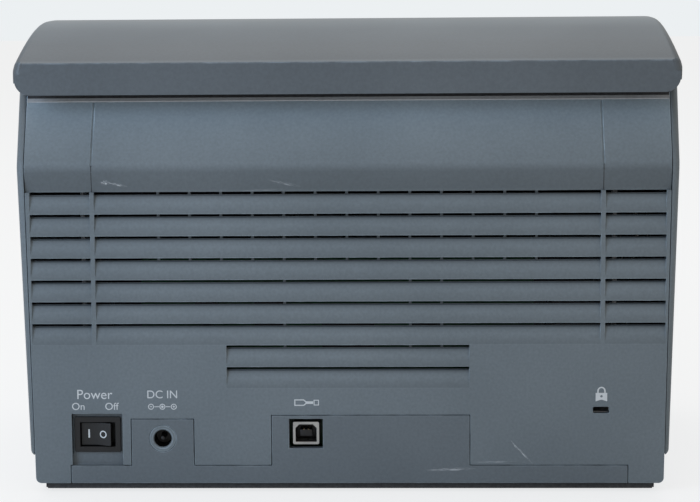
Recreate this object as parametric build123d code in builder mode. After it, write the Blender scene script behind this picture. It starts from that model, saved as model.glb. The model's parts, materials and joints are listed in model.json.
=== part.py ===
"""Upright document scanner, closed, seen best from behind.

Frame: millimetres, +Z up, origin at the bottom centre of the whole machine.
The louvred rear looks along +Y, the operator stands at -Y, right means +X.
"""
from math import atan2, cos, pi, radians, sin, sqrt, tan
import os

from build123d import *

os.makedirs("parts", exist_ok=True)

# Overall size of the closed machine
width = 300.0
depth = 200.0
height = 212.0
rear_y = depth / 2
front_y = -depth / 2

# Walls and running gaps
wall = 2.5
steel = 2.0
gap = 0.3
shaft_play = 0.05
side_gap = 1.0

# Rubber feet and base
foot_height = 4.0
foot_radius = 7.0
base_z = foot_height
floor_thickness = 3.0
base_rim_z = 17.0

# Side covers and the base below them
side_half_top = width / 2
side_half_bottom = side_half_top - 5.0
base_half_width = side_half_bottom - 2.5
side_top_z = height - 26.5

# Rear cover
bend_z = height - 62.0
slope_top_y = rear_y - 19.1
slope_top_z = height - 31.7
bend_radius = 10.0
rear_half_top = side_half_top - 4.0
rear_half_bottom = side_half_bottom - 2.0

# Inner side walls and steel frames, measured outwards from the middle
cheek_x = 119.0
cheek_thickness = 2.0
frame_x = cheek_x + cheek_thickness
rim_x = frame_x + steel + gap

# Lid hinge and lid
hinge_y = rear_y - 10.0
hinge_z = height - 23.5
hinge_pin_radius = 2.5
lid_rear_y = rear_y - 2.0
lid_crease_z = height - 16.0
lid_crest_y = rear_y - 65.0
lid_bottom_z = height - 25.0
skirt_bottom_z = height - 30.5
skirt_corner = 7.0
lid_front_y = front_y + 3.0
lid_end_lean = 5.0

# Paper path: a straight plane that leans back from the exit to the hopper
path_lean = 48.0
slot_y = rear_y - 66.0
slot_z = 128.0
path_gap = 0.8
guide_thickness = 3.0
path_top = -(height - 35.0 - slot_z) / sin(radians(path_lean))

# Front unit
front_hinge_y = front_y + 28.0
front_hinge_z = 34.0
front_half = cheek_x - side_gap
front_face_y = front_y + 3.5
front_top_z = height - 34.5
front_top_end_y = front_y + 52.0
front_bottom_z = 56.5
path_end = (slot_z - front_bottom_z) / sin(radians(path_lean)) + path_gap
front_pin_radius = 4.0

# Rollers: place along the path and radius
pick_t = 12.0
pick_radius = 11.0
brake_radius = 9.0
drive_t = 34.0
eject_t = 82.0
drive_radius = 8.0
pinch_radius = 5.0
roller_gap = 0.15
shaft_radius = 3.0
pinch_shaft_radius = 2.0

# Rear connectors, measured from the middle and from the floor
switch_x = 114.5
switch_z = 26.4
jack_x = 84.6
jack_z = 24.8
usb_x = 19.2
usb_z = 27.0
lock_x = -114.5
lock_z = 37.8

path_dy = -cos(radians(path_lean))
path_dz = -sin(radians(path_lean))


def path_point(t, n):
    """Return y and z of a place t along the paper path and n above it."""
    return (slot_y + t * path_dy + n * path_dz, slot_z + t * path_dz - n * path_dy)


def path_plane(x):
    """Plane across the paper path: its x runs along the path, its y away from the rear unit."""
    return Plane(origin=(x, slot_y, slot_z), x_dir=(0, path_dy, path_dz), z_dir=(-1, 0, 0))


def side_plane(x):
    """Plane seen from the machine's right side, with y to the rear and z up."""
    return Plane.YZ.offset(x)


def across(y):
    """Plane across the machine at y, x to the right, z up; solids grow from it towards the front."""
    return Plane(origin=(0, y, 0), x_dir=(1, 0, 0), z_dir=(0, -1, 0))


def leaning_plane(side, half_top, half_bottom, z_top, z_bottom, inset=0.0):
    """Plane that leans outwards with height, facing away from the middle."""
    slant = atan2(half_top - half_bottom, z_top - z_bottom)
    x0 = side * (half_bottom - inset / cos(slant))
    normal = (side * cos(slant), 0, -sin(slant))
    return Plane(origin=(x0, 0, z_bottom), x_dir=(0, 1, 0), z_dir=normal)


def side_lean(side, inset=0.0):
    """Outer face of a side cover, moved inwards by inset."""
    return leaning_plane(side, side_half_top, side_half_bottom, side_top_z, base_z, inset)


def rear_lean(side, inset=0.0):
    """Side edge of the rear cover, moved inwards by inset."""
    return leaning_plane(side, rear_half_top, rear_half_bottom, slope_top_z, base_z, inset)


def finish(piece, name):
    """Name a piece and write it."""
    piece.label = name
    export_step(piece, "parts/" + name + ".step")


# Rear cover: moulded wall with three fields of louvres and a stepped lower edge
slope = atan2(rear_y - slope_top_y, slope_top_z - bend_z)
slope_out = (cos(slope), sin(slope))
louvre_pitch = 10.0
louvre_top_z = bend_z - 12.2
louvre_slit = 1.3
louvre_depth = 1.5
louvre_strip = 1.0
band_height = 9.2
cover_corner = 2.5
louvre_low_z = 67.8
louvre_rows = round((louvre_top_z - louvre_low_z) / louvre_pitch)
louvre_middle_half = 114.0
louvre_side_start = louvre_middle_half + 2.0
louvre_side_end = rear_half_bottom + 0.2
short_rows = 2
short_half = 55.0
rib_pitch = 14.2
rib_count = 13
rib_thickness = 1.2
rib_reach = 2.5
strip_half = 127.0
strip_top_z = 12.5
jack_tab_width = 29.0
jack_tab_top_z = 34.0
usb_tab_x = -10.2
usb_tab_width = 90.5
usb_tab_top_z = 35.7
window_width = 23.2
window_top_z = 36.3
lock_width = 7.4
lock_height = 3.0
seam_width = 0.9
seam_depth = 0.5


def rear_profile(grow=0.0):
    """Section of the rear cover wall, grown on all sides by grow."""
    inner_bend_z = bend_z - wall * tan(slope / 2)
    inner_top = (slope_top_y - wall * slope_out[0], slope_top_z - wall * slope_out[1])
    with BuildSketch(Plane.XY) as section:
        with BuildLine():
            Polyline(
                (rear_y, base_z),
                (rear_y, bend_z),
                (slope_top_y, slope_top_z),
                inner_top,
                (rear_y - wall, inner_bend_z),
                (rear_y - wall, base_z),
                close=True,
            )
        make_face()
        bends = [v for v in section.vertices() if abs(v.Y - bend_z) < wall]
        fillet([v for v in bends if v.X > rear_y - wall / 2], bend_radius)
        fillet([v for v in bends if v.X < rear_y - wall / 2], bend_radius - wall)
        if grow:
            offset(amount=grow, kind=Kind.INTERSECTION)
    return section.sketch


def lower_panel_outline(shrink=0.0):
    """The base's rear strip and its two port tabs, as seen from behind."""
    tabs = ((0.0, 2 * strip_half, strip_top_z), (jack_x, jack_tab_width, jack_tab_top_z),
            (usb_tab_x, usb_tab_width, usb_tab_top_z))
    for x, tab_width, top in tabs:
        with Locations((x, base_z)):
            Rectangle(tab_width - 2 * shrink, top - shrink - base_z, align=(Align.CENTER, Align.MIN))


def louvre_field(rows, top_z):
    """Sections of one field of louvres: a slit, then a slat that runs out to the face."""
    with BuildSketch(Plane.XY) as field:
        for row in range(rows):
            z = top_z - row * louvre_pitch
            with BuildLine():
                Polyline(
                    (rear_y + 1, z),
                    (rear_y - wall - 1, z),
                    (rear_y - wall - 1, z - louvre_slit),
                    (rear_y - louvre_depth, z - louvre_slit),
                    (rear_y, z - louvre_pitch + louvre_strip),
                    (rear_y + 1, z - louvre_pitch + louvre_strip),
                    close=True,
                )
            make_face()
    return field.sketch


with BuildPart() as rear_cover:
    with BuildSketch(side_plane(0)):
        add(rear_profile())
    extrude(amount=side_half_top, both=True)
    for side in (-1, 1):
        split(bisect_by=rear_lean(side), keep=Keep.BOTTOM)
    side_length = louvre_side_end - louvre_side_start
    side_middle = (louvre_side_end + louvre_side_start) / 2
    fields = ((0.0, 2 * louvre_middle_half), (side_middle, side_length), (-side_middle, side_length))
    for x, length in fields:
        with BuildSketch(side_plane(x)):
            add(louvre_field(louvre_rows, louvre_top_z))
        extrude(amount=length / 2, both=True, mode=Mode.SUBTRACT)
    with BuildSketch(side_plane(0)):
        add(louvre_field(short_rows, louvre_top_z - louvre_rows * louvre_pitch))
    extrude(amount=short_half, both=True, mode=Mode.SUBTRACT)
    with BuildSketch(side_plane(0)):
        with BuildLine():
            Polyline(
                (rear_y + 1, louvre_top_z + band_height),
                (rear_y, louvre_top_z + band_height),
                (rear_y - louvre_depth, louvre_top_z),
                (rear_y + 1, louvre_top_z),
                close=True,
            )
        make_face()
    extrude(amount=side_half_top, both=True, mode=Mode.SUBTRACT)
    rib_top = louvre_top_z + louvre_slit
    rib_rows = 4
    rib_bottom = rib_top - rib_rows * louvre_pitch
    with BuildSketch(across(rear_y - louvre_depth)):
        with Locations((0, (rib_top + rib_bottom) / 2)):
            with GridLocations(rib_pitch, 1, rib_count, 1):
                Rectangle(rib_thickness, rib_top - rib_bottom)
        with Locations((2 * rib_pitch, rib_bottom), (-2 * rib_pitch, rib_bottom), (-3 * rib_pitch, rib_bottom)):
            Rectangle(rib_thickness, rib_rows * louvre_pitch, align=(Align.CENTER, Align.MAX))
    extrude(amount=rib_reach)
    with BuildSketch(across(rear_y + 1)):
        lower_panel_outline()
        with Locations((switch_x, strip_top_z)):
            Rectangle(window_width, window_top_z - strip_top_z, align=(Align.CENTER, Align.MIN))
        with Locations((lock_x, lock_z)):
            RectangleRounded(lock_width, lock_height, lock_height / 4)
    extrude(amount=wall + 2, mode=Mode.SUBTRACT)
    for x in (-louvre_side_start + seam_width, louvre_side_start - seam_width):
        with BuildSketch(side_plane(x)):
            with BuildLine():
                Polyline(
                    (slope_top_y + slope_out[0], slope_top_z + slope_out[1]),
                    (slope_top_y - seam_depth * slope_out[0], slope_top_z - seam_depth * slope_out[1]),
                    (rear_y - seam_depth * slope_out[0], bend_z - seam_depth * slope_out[1]),
                    (rear_y + slope_out[0], bend_z + slope_out[1]),
                    close=True,
                )
            make_face()
        extrude(amount=seam_width / 2, both=True, mode=Mode.SUBTRACT)
    low_edges = rear_cover.edges().filter_by(Axis.Y).group_by(Axis.Z)[0].sort_by(Axis.X)
    fillet([low_edges[0], low_edges[-1]], cover_corner)
finish(rear_cover.part, "rear_cover")


# Base: floor with a low rim, rear wall for the ports and rails for the output tray
base_front_y = front_y + 4.0
base_corner = 6.0
rear_wall_y = rear_y - wall - gap
rear_wall_half = strip_half - 1.0
rear_wall_top_z = 38.0
floor_z = base_z + floor_thickness
tray_half = cheek_x - 11.0
rail_x = tray_half + 0.6
rail_width = 2.4
rail_top_z = 22.0
rail_front_y = front_y + 8.0
rail_back_y = 40.0
switch_hole_width = 19.4
switch_hole_height = 13.4
jack_hole_radius = 6.2
usb_hole_width = 15.3
usb_hole_height = 13.6

with BuildPart() as base:
    with BuildSketch(Plane.XY.offset(base_z)):
        with Locations((0, (base_front_y + rear_wall_y) / 2)):
            Rectangle(2 * base_half_width, rear_wall_y - base_front_y)
    extrude(amount=base_rim_z - base_z)
    fillet(base.edges().filter_by(Axis.Z), base_corner)
    with BuildSketch(Plane.XY.offset(base_rim_z)):
        with Locations((0, (base_front_y + rear_wall_y) / 2)):
            RectangleRounded(2 * (base_half_width - wall), rear_wall_y - base_front_y - 2 * wall, base_corner - wall)
        with Locations((0, base_front_y + wall / 2)):
            Rectangle(2 * (frame_x + gap), wall + 1)
    extrude(amount=floor_z - base_rim_z, mode=Mode.SUBTRACT)
    with BuildSketch(across(rear_wall_y)):
        with Locations((0, base_z)):
            Rectangle(2 * rear_wall_half, rear_wall_top_z - base_z, align=(Align.CENTER, Align.MIN))
    extrude(amount=wall)
    with BuildSketch(across(rear_y)):
        lower_panel_outline(gap)
    extrude(amount=rear_y - rear_wall_y)
    with BuildSketch(Plane.XY.offset(floor_z)):
        for side in (-1, 1):
            with Locations((side * (rail_x + rail_width / 2), (rail_front_y + rail_back_y) / 2)):
                Rectangle(rail_width, rail_back_y - rail_front_y)
    extrude(amount=rail_top_z - floor_z)
    with BuildSketch(across(rear_y + 1)):
        with Locations((switch_x, switch_z)):
            Rectangle(switch_hole_width, switch_hole_height)
        with Locations((jack_x, jack_z)):
            Circle(jack_hole_radius)
        with Locations((usb_x, usb_z)):
            Rectangle(usb_hole_width, usb_hole_height)
    extrude(amount=rear_y - rear_wall_y + wall + 2, mode=Mode.SUBTRACT)
    with BuildSketch(across(rear_wall_y + 1)):
        with Locations((lock_x, lock_z)):
            Rectangle(lock_width + 2, lock_height + 3)
    extrude(amount=wall + 2, mode=Mode.SUBTRACT)
finish(base.part, "base_chassis")


# Rubber feet
foot_inset_x = 20.0
foot_inset_y = 18.0
foot_span_x = 2 * (base_half_width - foot_inset_x)
foot_front_y = base_front_y + foot_inset_y
foot_back_y = rear_wall_y - foot_inset_y

with BuildPart() as feet:
    with Locations((0, (foot_front_y + foot_back_y) / 2, 0)):
        with GridLocations(foot_span_x, foot_back_y - foot_front_y, 2, 2):
            Cylinder(foot_radius, foot_height, align=(Align.CENTER, Align.CENTER, Align.MIN))
    chamfer(feet.edges().group_by(Axis.Z)[0], 0.8)
finish(feet.part, "rubber_feet")


# Side covers: leaning shells with a rim all round
rim_rounding = 3.0
front_corner = 12.0
side_front_y = front_y + 3.0
side_cover_bottom_z = base_rim_z
slope_run = (rear_y - slope_top_y) / (slope_top_z - bend_z)
side_top_back_y = slope_top_y - (side_top_z - slope_top_z) * slope_run
ear_notch_y = rear_y - 28.0


def side_outline(inset=0.0):
    """Side view of the housing above the base, moved inwards by inset."""
    with BuildSketch(Plane.XY) as outline:
        with BuildLine():
            Polyline(
                (rear_y, side_cover_bottom_z),
                (rear_y, bend_z),
                (side_top_back_y, side_top_z),
                (side_front_y, side_top_z),
                (side_front_y, side_cover_bottom_z),
                close=True,
            )
        make_face()
        fillet([v for v in outline.vertices() if abs(v.Y - bend_z) < 1], bend_radius)
        fillet(outline.vertices().group_by(Axis.X)[0], front_corner)
        if inset:
            offset(amount=-inset, kind=Kind.INTERSECTION)
    return outline.sketch


for side, name in ((-1, "side_cover_left"), (1, "side_cover_right")):
    reach = side_half_top + 1 - rim_x
    with BuildPart() as pocket:
        with BuildSketch(side_plane(side * (rim_x - 1))):
            add(side_outline(wall))
        extrude(amount=side * (reach + 1))
        split(bisect_by=side_lean(side, wall), keep=Keep.BOTTOM)
    with BuildPart() as rear_space:
        with BuildSketch(side_plane(side * (rim_x - 1))):
            add(rear_profile(gap))
        extrude(amount=side * (reach + 1))
        split(bisect_by=rear_lean(side, -gap), keep=Keep.BOTTOM)
    with BuildPart() as side_cover:
        with BuildSketch(side_plane(side * rim_x)):
            add(side_outline())
        extrude(amount=side * reach)
        split(bisect_by=side_lean(side), keep=Keep.BOTTOM)
        outer_face = side_cover.faces().sort_by(Axis.X)[-1 if side > 0 else 0]
        fillet(outer_face.edges(), rim_rounding)
        add(pocket.part, mode=Mode.SUBTRACT)
        add(rear_space.part, mode=Mode.SUBTRACT)
        with BuildSketch(across(rear_y)):
            with Locations((0, side_cover_bottom_z)):
                Rectangle(2 * (rear_wall_half + gap), 2 * (rear_wall_top_z + gap - side_cover_bottom_z))
        extrude(amount=rear_y - rear_wall_y + wall + gap, mode=Mode.SUBTRACT)
    finish(side_cover.part, name)


# Cheeks: plastic walls on both sides of the hopper and of the paper exit
cheek_front_y = front_y + 4.5
apron_lap = 6.0
cheek_back_y = path_point(path_end - apron_lap, -path_gap - guide_thickness)[0]
cheek_flange = 2.5
hinge_hole_radius = front_pin_radius + shaft_play


def cheek_outline():
    """Side view of a cheek: everything in front of the rear paper guide."""
    back = path_gap + guide_thickness
    low = path_point(path_end, -back)
    high = path_point(path_top, -back)
    with BuildSketch(Plane.XY) as outline:
        with BuildLine():
            Polyline(
                (cheek_front_y, floor_z),
                (cheek_back_y, floor_z),
                low,
                high,
                (side_top_back_y - gap, side_top_z - 3),
                (side_top_back_y - 1, side_top_z),
                (cheek_front_y, side_top_z),
                close=True,
            )
        make_face()
        fillet(outline.vertices().group_by(Axis.X)[0].sort_by(Axis.Y)[-1], front_corner)
    return outline.sketch


for side, name in ((-1, "cheek_left"), (1, "cheek_right")):
    with BuildPart() as cheek:
        with BuildSketch(side_plane(side * cheek_x)):
            add(cheek_outline())
        extrude(amount=side * cheek_thickness)
        with BuildSketch(side_plane(side * frame_x)):
            with Locations((cheek_front_y, (side_cover_bottom_z + side_top_z - front_corner) / 2)):
                Rectangle(cheek_flange, side_top_z - front_corner - side_cover_bottom_z, align=(Align.MIN, Align.CENTER))
        extrude(amount=side * steel)
        with BuildSketch(side_plane(side * (cheek_x - 1))):
            with Locations((front_hinge_y, front_hinge_z)):
                Circle(hinge_hole_radius)
        extrude(amount=side * (cheek_thickness + steel + 2), mode=Mode.SUBTRACT)
    finish(cheek.part, name)


# Steel side frames: they carry the shafts, the motor and, on an ear, the lid hinge
bush_radius = 5.5
bush_wall_play = 0.02
frame_front_y = front_y + 14.0
frame_back_y = rear_y - 22.0
motor_y = rear_y - 44.0
motor_z = 62.0
motor_radius = 20.0
motor_length = 28.0
motor_boss_radius = 6.0
stay_radius = 4.0
screw_head = 1.8
stay_places = ((rear_y - 40.0, base_rim_z + wall + stay_radius + 1.5), (rear_y - 34.0, bend_z - 18.0))
ear_radius = 5.0
ear_width = 3.8
ear_back = 11.6
ear_top = 3.0
ear_foot = 6.0
ear_height = 17.0
belt_x = frame_x + steel + 2.0
belt_width = 4.0
belt_step = 5.5
shaft_places = (
    path_point(pick_t, -(pick_radius + roller_gap)),
    path_point(drive_t, -(drive_radius + roller_gap)),
    path_point(eject_t, -(drive_radius + roller_gap)),
)


def frame_outline():
    """Side view of a steel frame with the hooked ear that reaches up to the lid hinge."""
    ear_front = hinge_y - ear_back - ear_width
    with BuildSketch(Plane.XY) as outline:
        with BuildLine():
            Polyline(
                (frame_front_y, floor_z),
                (frame_back_y, floor_z),
                (frame_back_y, bend_z - ear_foot),
                (hinge_y - ear_back, hinge_z - ear_height),
                (hinge_y - ear_back, hinge_z - ear_top),
                (hinge_y, hinge_z - ear_top),
                (hinge_y, hinge_z + ear_top),
                (ear_front, hinge_z + ear_top),
                (ear_front, hinge_z - ear_height),
                (slot_y, slot_z + 10),
                (frame_front_y + 30, front_hinge_z + 30),
                (frame_front_y, front_hinge_z + 10),
                close=True,
            )
        make_face()
        with Locations((hinge_y, hinge_z)):
            Circle(ear_radius)
            Circle(hinge_pin_radius + shaft_play, mode=Mode.SUBTRACT)
        with Locations((front_hinge_y, front_hinge_z)):
            Circle(hinge_hole_radius, mode=Mode.SUBTRACT)
        with Locations(*shaft_places):
            Circle(bush_radius + bush_wall_play, mode=Mode.SUBTRACT)
    return outline.sketch


for side, name in ((-1, "side_frame_left"), (1, "side_frame_right")):
    with BuildPart() as side_frame:
        with BuildSketch(side_plane(side * frame_x)):
            add(frame_outline())
            if side < 0:
                with Locations((motor_y, motor_z)):
                    Circle(motor_boss_radius, mode=Mode.SUBTRACT)
        extrude(amount=side * steel)
    finish(side_frame.part, name)

with BuildPart() as stays:
    with BuildSketch(side_plane(-frame_x)):
        with Locations(*stay_places):
            Circle(stay_radius)
            Circle(stay_radius - 1, mode=Mode.SUBTRACT)
    extrude(amount=2 * frame_x)
finish(stays.part, "cross_stays")

with BuildPart() as bushes:
    for side in (-1, 1):
        with BuildSketch(side_plane(side * frame_x)):
            with Locations(*shaft_places):
                Circle(bush_radius)
                Circle(shaft_radius + shaft_play, mode=Mode.SUBTRACT)
        extrude(amount=side * steel)
finish(bushes.part, "shaft_bushes")


# Rear paper guide: a straight ramp with windows for the rollers and the sensor glass
tyre_width = 16.0
tyre_places = (-70.0, -25.0, 25.0, 70.0)
pick_width = 20.0
pick_places = (-14.0, 14.0)
tyre_clear = 2.0
glass_start = 52.0
glass_end = 68.0
sensor_half = 112.0


def tyre_windows(t, radius, places, tyre_length):
    """Holes that let the tyres on one shaft through a paper guide."""
    depth_in = radius + roller_gap - path_gap - guide_thickness
    half = sqrt(radius ** 2 - depth_in ** 2) + 1
    for x in places:
        with Locations((t, x)):
            Rectangle(2 * half, tyre_length + 2 * tyre_clear)


guide_face = Plane(
    origin=(0, slot_y, slot_z),
    x_dir=(0, path_dy, path_dz),
    z_dir=(0, path_dz, -path_dy),
)

with BuildPart() as rear_guide:
    with BuildSketch(path_plane(-cheek_x)):
        with Locations(((path_top + path_end) / 2, -path_gap)):
            Rectangle(path_end - path_top, guide_thickness, align=(Align.CENTER, Align.MAX))
    extrude(amount=-2 * cheek_x)
    low = path_point(path_end, -path_gap - guide_thickness)
    lap = path_point(path_end - apron_lap, -path_gap - guide_thickness)
    with BuildSketch(side_plane(-cheek_x)):
        with BuildLine():
            Polyline(low, lap, (lap[0], rail_top_z + 1), (low[0], rail_top_z + 1), close=True)
        make_face()
    extrude(amount=2 * cheek_x)
    with BuildSketch(guide_face.offset(1)):
        with Locations(((glass_start + glass_end) / 2, 0)):
            Rectangle(glass_end - glass_start, 2 * sensor_half)
        tyre_windows(pick_t, pick_radius, pick_places, pick_width)
        tyre_windows(drive_t, drive_radius, tyre_places, tyre_width)
        tyre_windows(eject_t, drive_radius, tyre_places, tyre_width)
    extrude(amount=-guide_thickness - 3, mode=Mode.SUBTRACT)
finish(rear_guide.part, "rear_paper_guide")


# Contact image sensors: a dark housing and a glass strip on each side of the paper
sensor_depth = 12.0
sensor_lap = 2.0
glass_play = 0.1


def sensor_pieces(side_name, away):
    """Sensor housing and glass; away is -1 behind the paper and 1 in front of it."""
    middle = (glass_start + glass_end) / 2
    back = away * (path_gap + guide_thickness)
    align = (Align.CENTER, Align.MIN if away > 0 else Align.MAX)
    with BuildPart() as housing:
        with BuildSketch(path_plane(-sensor_half - sensor_lap)):
            with Locations((middle, back)):
                Rectangle(glass_end - glass_start + 2 * sensor_lap, sensor_depth, align=align)
        extrude(amount=-2 * (sensor_half + sensor_lap))
        chamfer(housing.edges().filter_by(Axis.X), 0.5)
    finish(housing.part, side_name + "_image_sensor")
    with BuildPart() as pane:
        with BuildSketch(path_plane(-sensor_half + glass_play)):
            with Locations((middle, back)):
                Rectangle(
                    glass_end - glass_start - 2 * glass_play,
                    guide_thickness - glass_play,
                    align=(Align.CENTER, Align.MAX if away > 0 else Align.MIN),
                )
        extrude(amount=-2 * (sensor_half - glass_play))
    finish(pane.part, side_name + "_sensor_glass")


sensor_pieces("rear", -1)


# Driven rollers: steel shafts with rubber tyres, turned by flat belts on the left side
motor_pulley_radius = 7.0
big_pulley_radius = 12.0
small_pulley_radius = 7.0
pick_pulley_radius = small_pulley_radius * pick_radius / drive_radius
flange_height = 1.6
flange_thickness = (belt_step - belt_width) / 2 - 0.2
belt_thickness = 1.2
belt_play = 0.15
motor_shaft_radius = 2.5
shaft_right_x = frame_x + steel + 1.5


def layer_x(layer):
    """Outer x of a belt layer on the left side."""
    return -(belt_x + layer * belt_step)


def belt_pulley(place, stack):
    """Flanged pulleys side by side on one shaft; stack lists (layer, radius)."""
    with BuildPart() as pulley:
        for layer, radius in stack:
            start = layer_x(layer) + flange_thickness + 0.2
            with BuildSketch(side_plane(start)):
                with Locations(place):
                    Circle(radius)
            extrude(amount=-belt_step)
            for edge in (start, start - belt_step + flange_thickness):
                with BuildSketch(side_plane(edge)):
                    with Locations(place):
                        Circle(radius + flange_height)
                extrude(amount=-flange_thickness)
    return pulley.part


def driven_shaft(name, place, radius, places, tyre_length, last_layer):
    """Shaft and tyres of one driven roller."""
    with BuildPart() as shaft:
        with BuildSketch(side_plane(shaft_right_x)):
            with Locations(place):
                Circle(shaft_radius)
        extrude(amount=layer_x(last_layer) - belt_step - shaft_right_x)
        chamfer(shaft.edges().filter_by(GeomType.CIRCLE), 0.4)
    finish(shaft.part, name + "_shaft")
    with BuildPart() as tyres:
        for x in places:
            with BuildSketch(side_plane(x)):
                with Locations(place):
                    Circle(radius)
                    Circle(shaft_radius, mode=Mode.SUBTRACT)
            extrude(amount=tyre_length / 2, both=True)
    finish(tyres.part, name + "_tyres")


def bored_pulley(name, place, stack, bore):
    """Pulley with its bore cut through."""
    with BuildPart() as pulley:
        add(belt_pulley(place, stack))
        with BuildSketch(side_plane(-frame_x)):
            with Locations(place):
                Circle(bore)
        extrude(amount=-6 * belt_step, mode=Mode.SUBTRACT)
    finish(pulley.part, name)


pick_place, drive_place, eject_place = shaft_places
motor_place = (motor_y, motor_z)
driven_shaft("pick", pick_place, pick_radius, pick_places, pick_width, 2)
driven_shaft("drive", drive_place, drive_radius, tyre_places, tyre_width, 2)
driven_shaft("eject", eject_place, drive_radius, tyre_places, tyre_width, 1)
bored_pulley("pick_pulley", pick_place, ((2, pick_pulley_radius),), shaft_radius)
drive_stack = ((0, big_pulley_radius), (1, small_pulley_radius), (2, small_pulley_radius))
bored_pulley("drive_pulley", drive_place, drive_stack, shaft_radius)
bored_pulley("eject_pulley", eject_place, ((1, small_pulley_radius),), shaft_radius)

with BuildPart() as motor_pulley:
    add(belt_pulley(motor_place, ((0, motor_pulley_radius),)))
    with BuildSketch(side_plane(layer_x(0) - belt_step)):
        with Locations(motor_place):
            Circle(motor_shaft_radius)
    extrude(amount=2 * belt_step + 8)
finish(motor_pulley.part, "motor_pulley")

with BuildPart() as belts:
    runs = (
        (0, motor_place, motor_pulley_radius, drive_place, big_pulley_radius),
        (1, drive_place, small_pulley_radius, eject_place, small_pulley_radius),
        (2, drive_place, small_pulley_radius, pick_place, pick_pulley_radius),
    )
    for layer, place_a, radius_a, place_b, radius_b in runs:
        for extra, how in ((belt_play + belt_thickness, Mode.ADD), (belt_play, Mode.SUBTRACT)):
            with BuildSketch(side_plane(layer_x(layer))):
                with Locations(place_a):
                    Circle(radius_a + extra)
                with Locations(place_b):
                    Circle(radius_b + extra)
                make_hull()
            extrude(amount=-belt_width, mode=how)
finish(belts.part, "drive_belts")

with BuildPart() as motor:
    with BuildSketch(side_plane(-frame_x)):
        with Locations(motor_place):
            Circle(motor_radius)
    extrude(amount=motor_length)
    fillet(motor.edges().filter_by(GeomType.CIRCLE), 1.5)
    with BuildSketch(side_plane(-frame_x - steel)):
        with Locations(motor_place):
            Circle(motor_boss_radius - bush_wall_play)
    extrude(amount=steel + 1)
    with BuildSketch(side_plane(-frame_x - steel - 1)):
        with Locations(motor_place):
            Circle(motor_shaft_radius + shaft_play)
    extrude(amount=motor_length / 2, mode=Mode.SUBTRACT)
finish(motor.part, "drive_motor")

with BuildPart() as frame_screws:
    for side in (-1, 1):
        with BuildSketch(side_plane(side * (frame_x + steel))):
            with Locations(*stay_places):
                Circle(stay_radius)
        extrude(amount=side * screw_head)
    heads = frame_screws.faces().sort_by(Axis.X)
    fillet(heads[:2].edges() + heads[-2:].edges(), screw_head / 2)
finish(frame_screws.part, "frame_screws")


# Circuit board with its chips, upright behind the ports
board_back_y = rear_y - 18.4
board_thickness = 1.6
board_left_x = -85.0
board_right_x = 95.0
board_low_z = 12.0
board_high_z = 112.0
chip_row_z = 70.0
big_chip = 24.0
memory_x = 36.0
memory_length = 14.0
memory_width = 10.0
memory_pitch = 16.0
chip_height = 3.0
can_x = 65.0
can_pitch = 14.0
can_radius = 5.0
can_height = 12.0
usb_front_y = rear_y - 1.4
usb_shell_width = 12.0
usb_shell_height = 10.5
usb_cavity_width = 9.6
usb_cavity_height = 8.0
usb_cavity_depth = 9.0
usb_tongue_width = 5.2
usb_tongue_height = 2.8
jack_bore_radius = 4.0
jack_bore_depth = 10.0
jack_pin_radius = 1.0

with BuildPart() as board:
    with BuildSketch(across(board_back_y)):
        with Locations(((board_left_x + board_right_x) / 2, (board_low_z + board_high_z) / 2)):
            Rectangle(board_right_x - board_left_x, board_high_z - board_low_z)
    extrude(amount=board_thickness)
finish(board.part, "main_board")

with BuildPart() as chips:
    with BuildSketch(across(board_back_y + chip_height)):
        with Locations((0, chip_row_z)):
            Rectangle(big_chip, big_chip)
        with Locations((memory_x, chip_row_z), (memory_x, chip_row_z + memory_pitch), (-memory_x, chip_row_z)):
            Rectangle(memory_length, memory_width)
    extrude(amount=chip_height)
    with BuildSketch(across(board_back_y + can_height)):
        with Locations((can_x, chip_row_z)):
            with GridLocations(1, can_pitch, 1, 3):
                Circle(can_radius)
    extrude(amount=can_height)
finish(chips.part, "board_chips")

with BuildPart() as usb_socket:
    with BuildSketch(across(usb_front_y)):
        with Locations((usb_x, usb_z)):
            RectangleRounded(usb_shell_width, usb_shell_height, 0.8)
    extrude(amount=usb_front_y - board_back_y)
    with BuildSketch(across(usb_front_y)) as mouth:
        with Locations((usb_x, usb_z)):
            Rectangle(usb_cavity_width, usb_cavity_height)
        chamfer(mouth.vertices().group_by(Axis.Y)[-1], 1.7)
    extrude(amount=usb_cavity_depth, mode=Mode.SUBTRACT)
    with BuildSketch(across(usb_front_y - 1)):
        with Locations((usb_x, usb_z)):
            Rectangle(usb_tongue_width, usb_tongue_height)
    extrude(amount=usb_cavity_depth)
finish(usb_socket.part, "usb_socket")

with BuildPart() as jack:
    with BuildSketch(across(rear_y)):
        with Locations((jack_x, jack_z)):
            Circle(jack_hole_radius - bush_wall_play)
    extrude(amount=rear_y - board_back_y)
    with BuildSketch(across(rear_y)):
        with Locations((jack_x, jack_z)):
            Circle(jack_bore_radius)
            Circle(jack_pin_radius, mode=Mode.SUBTRACT)
    extrude(amount=jack_bore_depth, mode=Mode.SUBTRACT)
    with BuildSketch(across(rear_y)):
        with Locations((jack_x, jack_z)):
            Circle(jack_pin_radius)
    extrude(amount=1, mode=Mode.SUBTRACT)
    chamfer(jack.edges().filter_by(GeomType.CIRCLE).sort_by(Axis.Y)[-1], 0.4)
finish(jack.part, "dc_jack")

with BuildPart() as lock_bracket:
    with BuildSketch(across(rear_wall_y - wall)):
        with Locations((lock_x, lock_z)):
            Rectangle(20, 16)
            Rectangle(lock_width, lock_height, mode=Mode.SUBTRACT)
    extrude(amount=1.5)
finish(lock_bracket.part, "lock_bracket")


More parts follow.
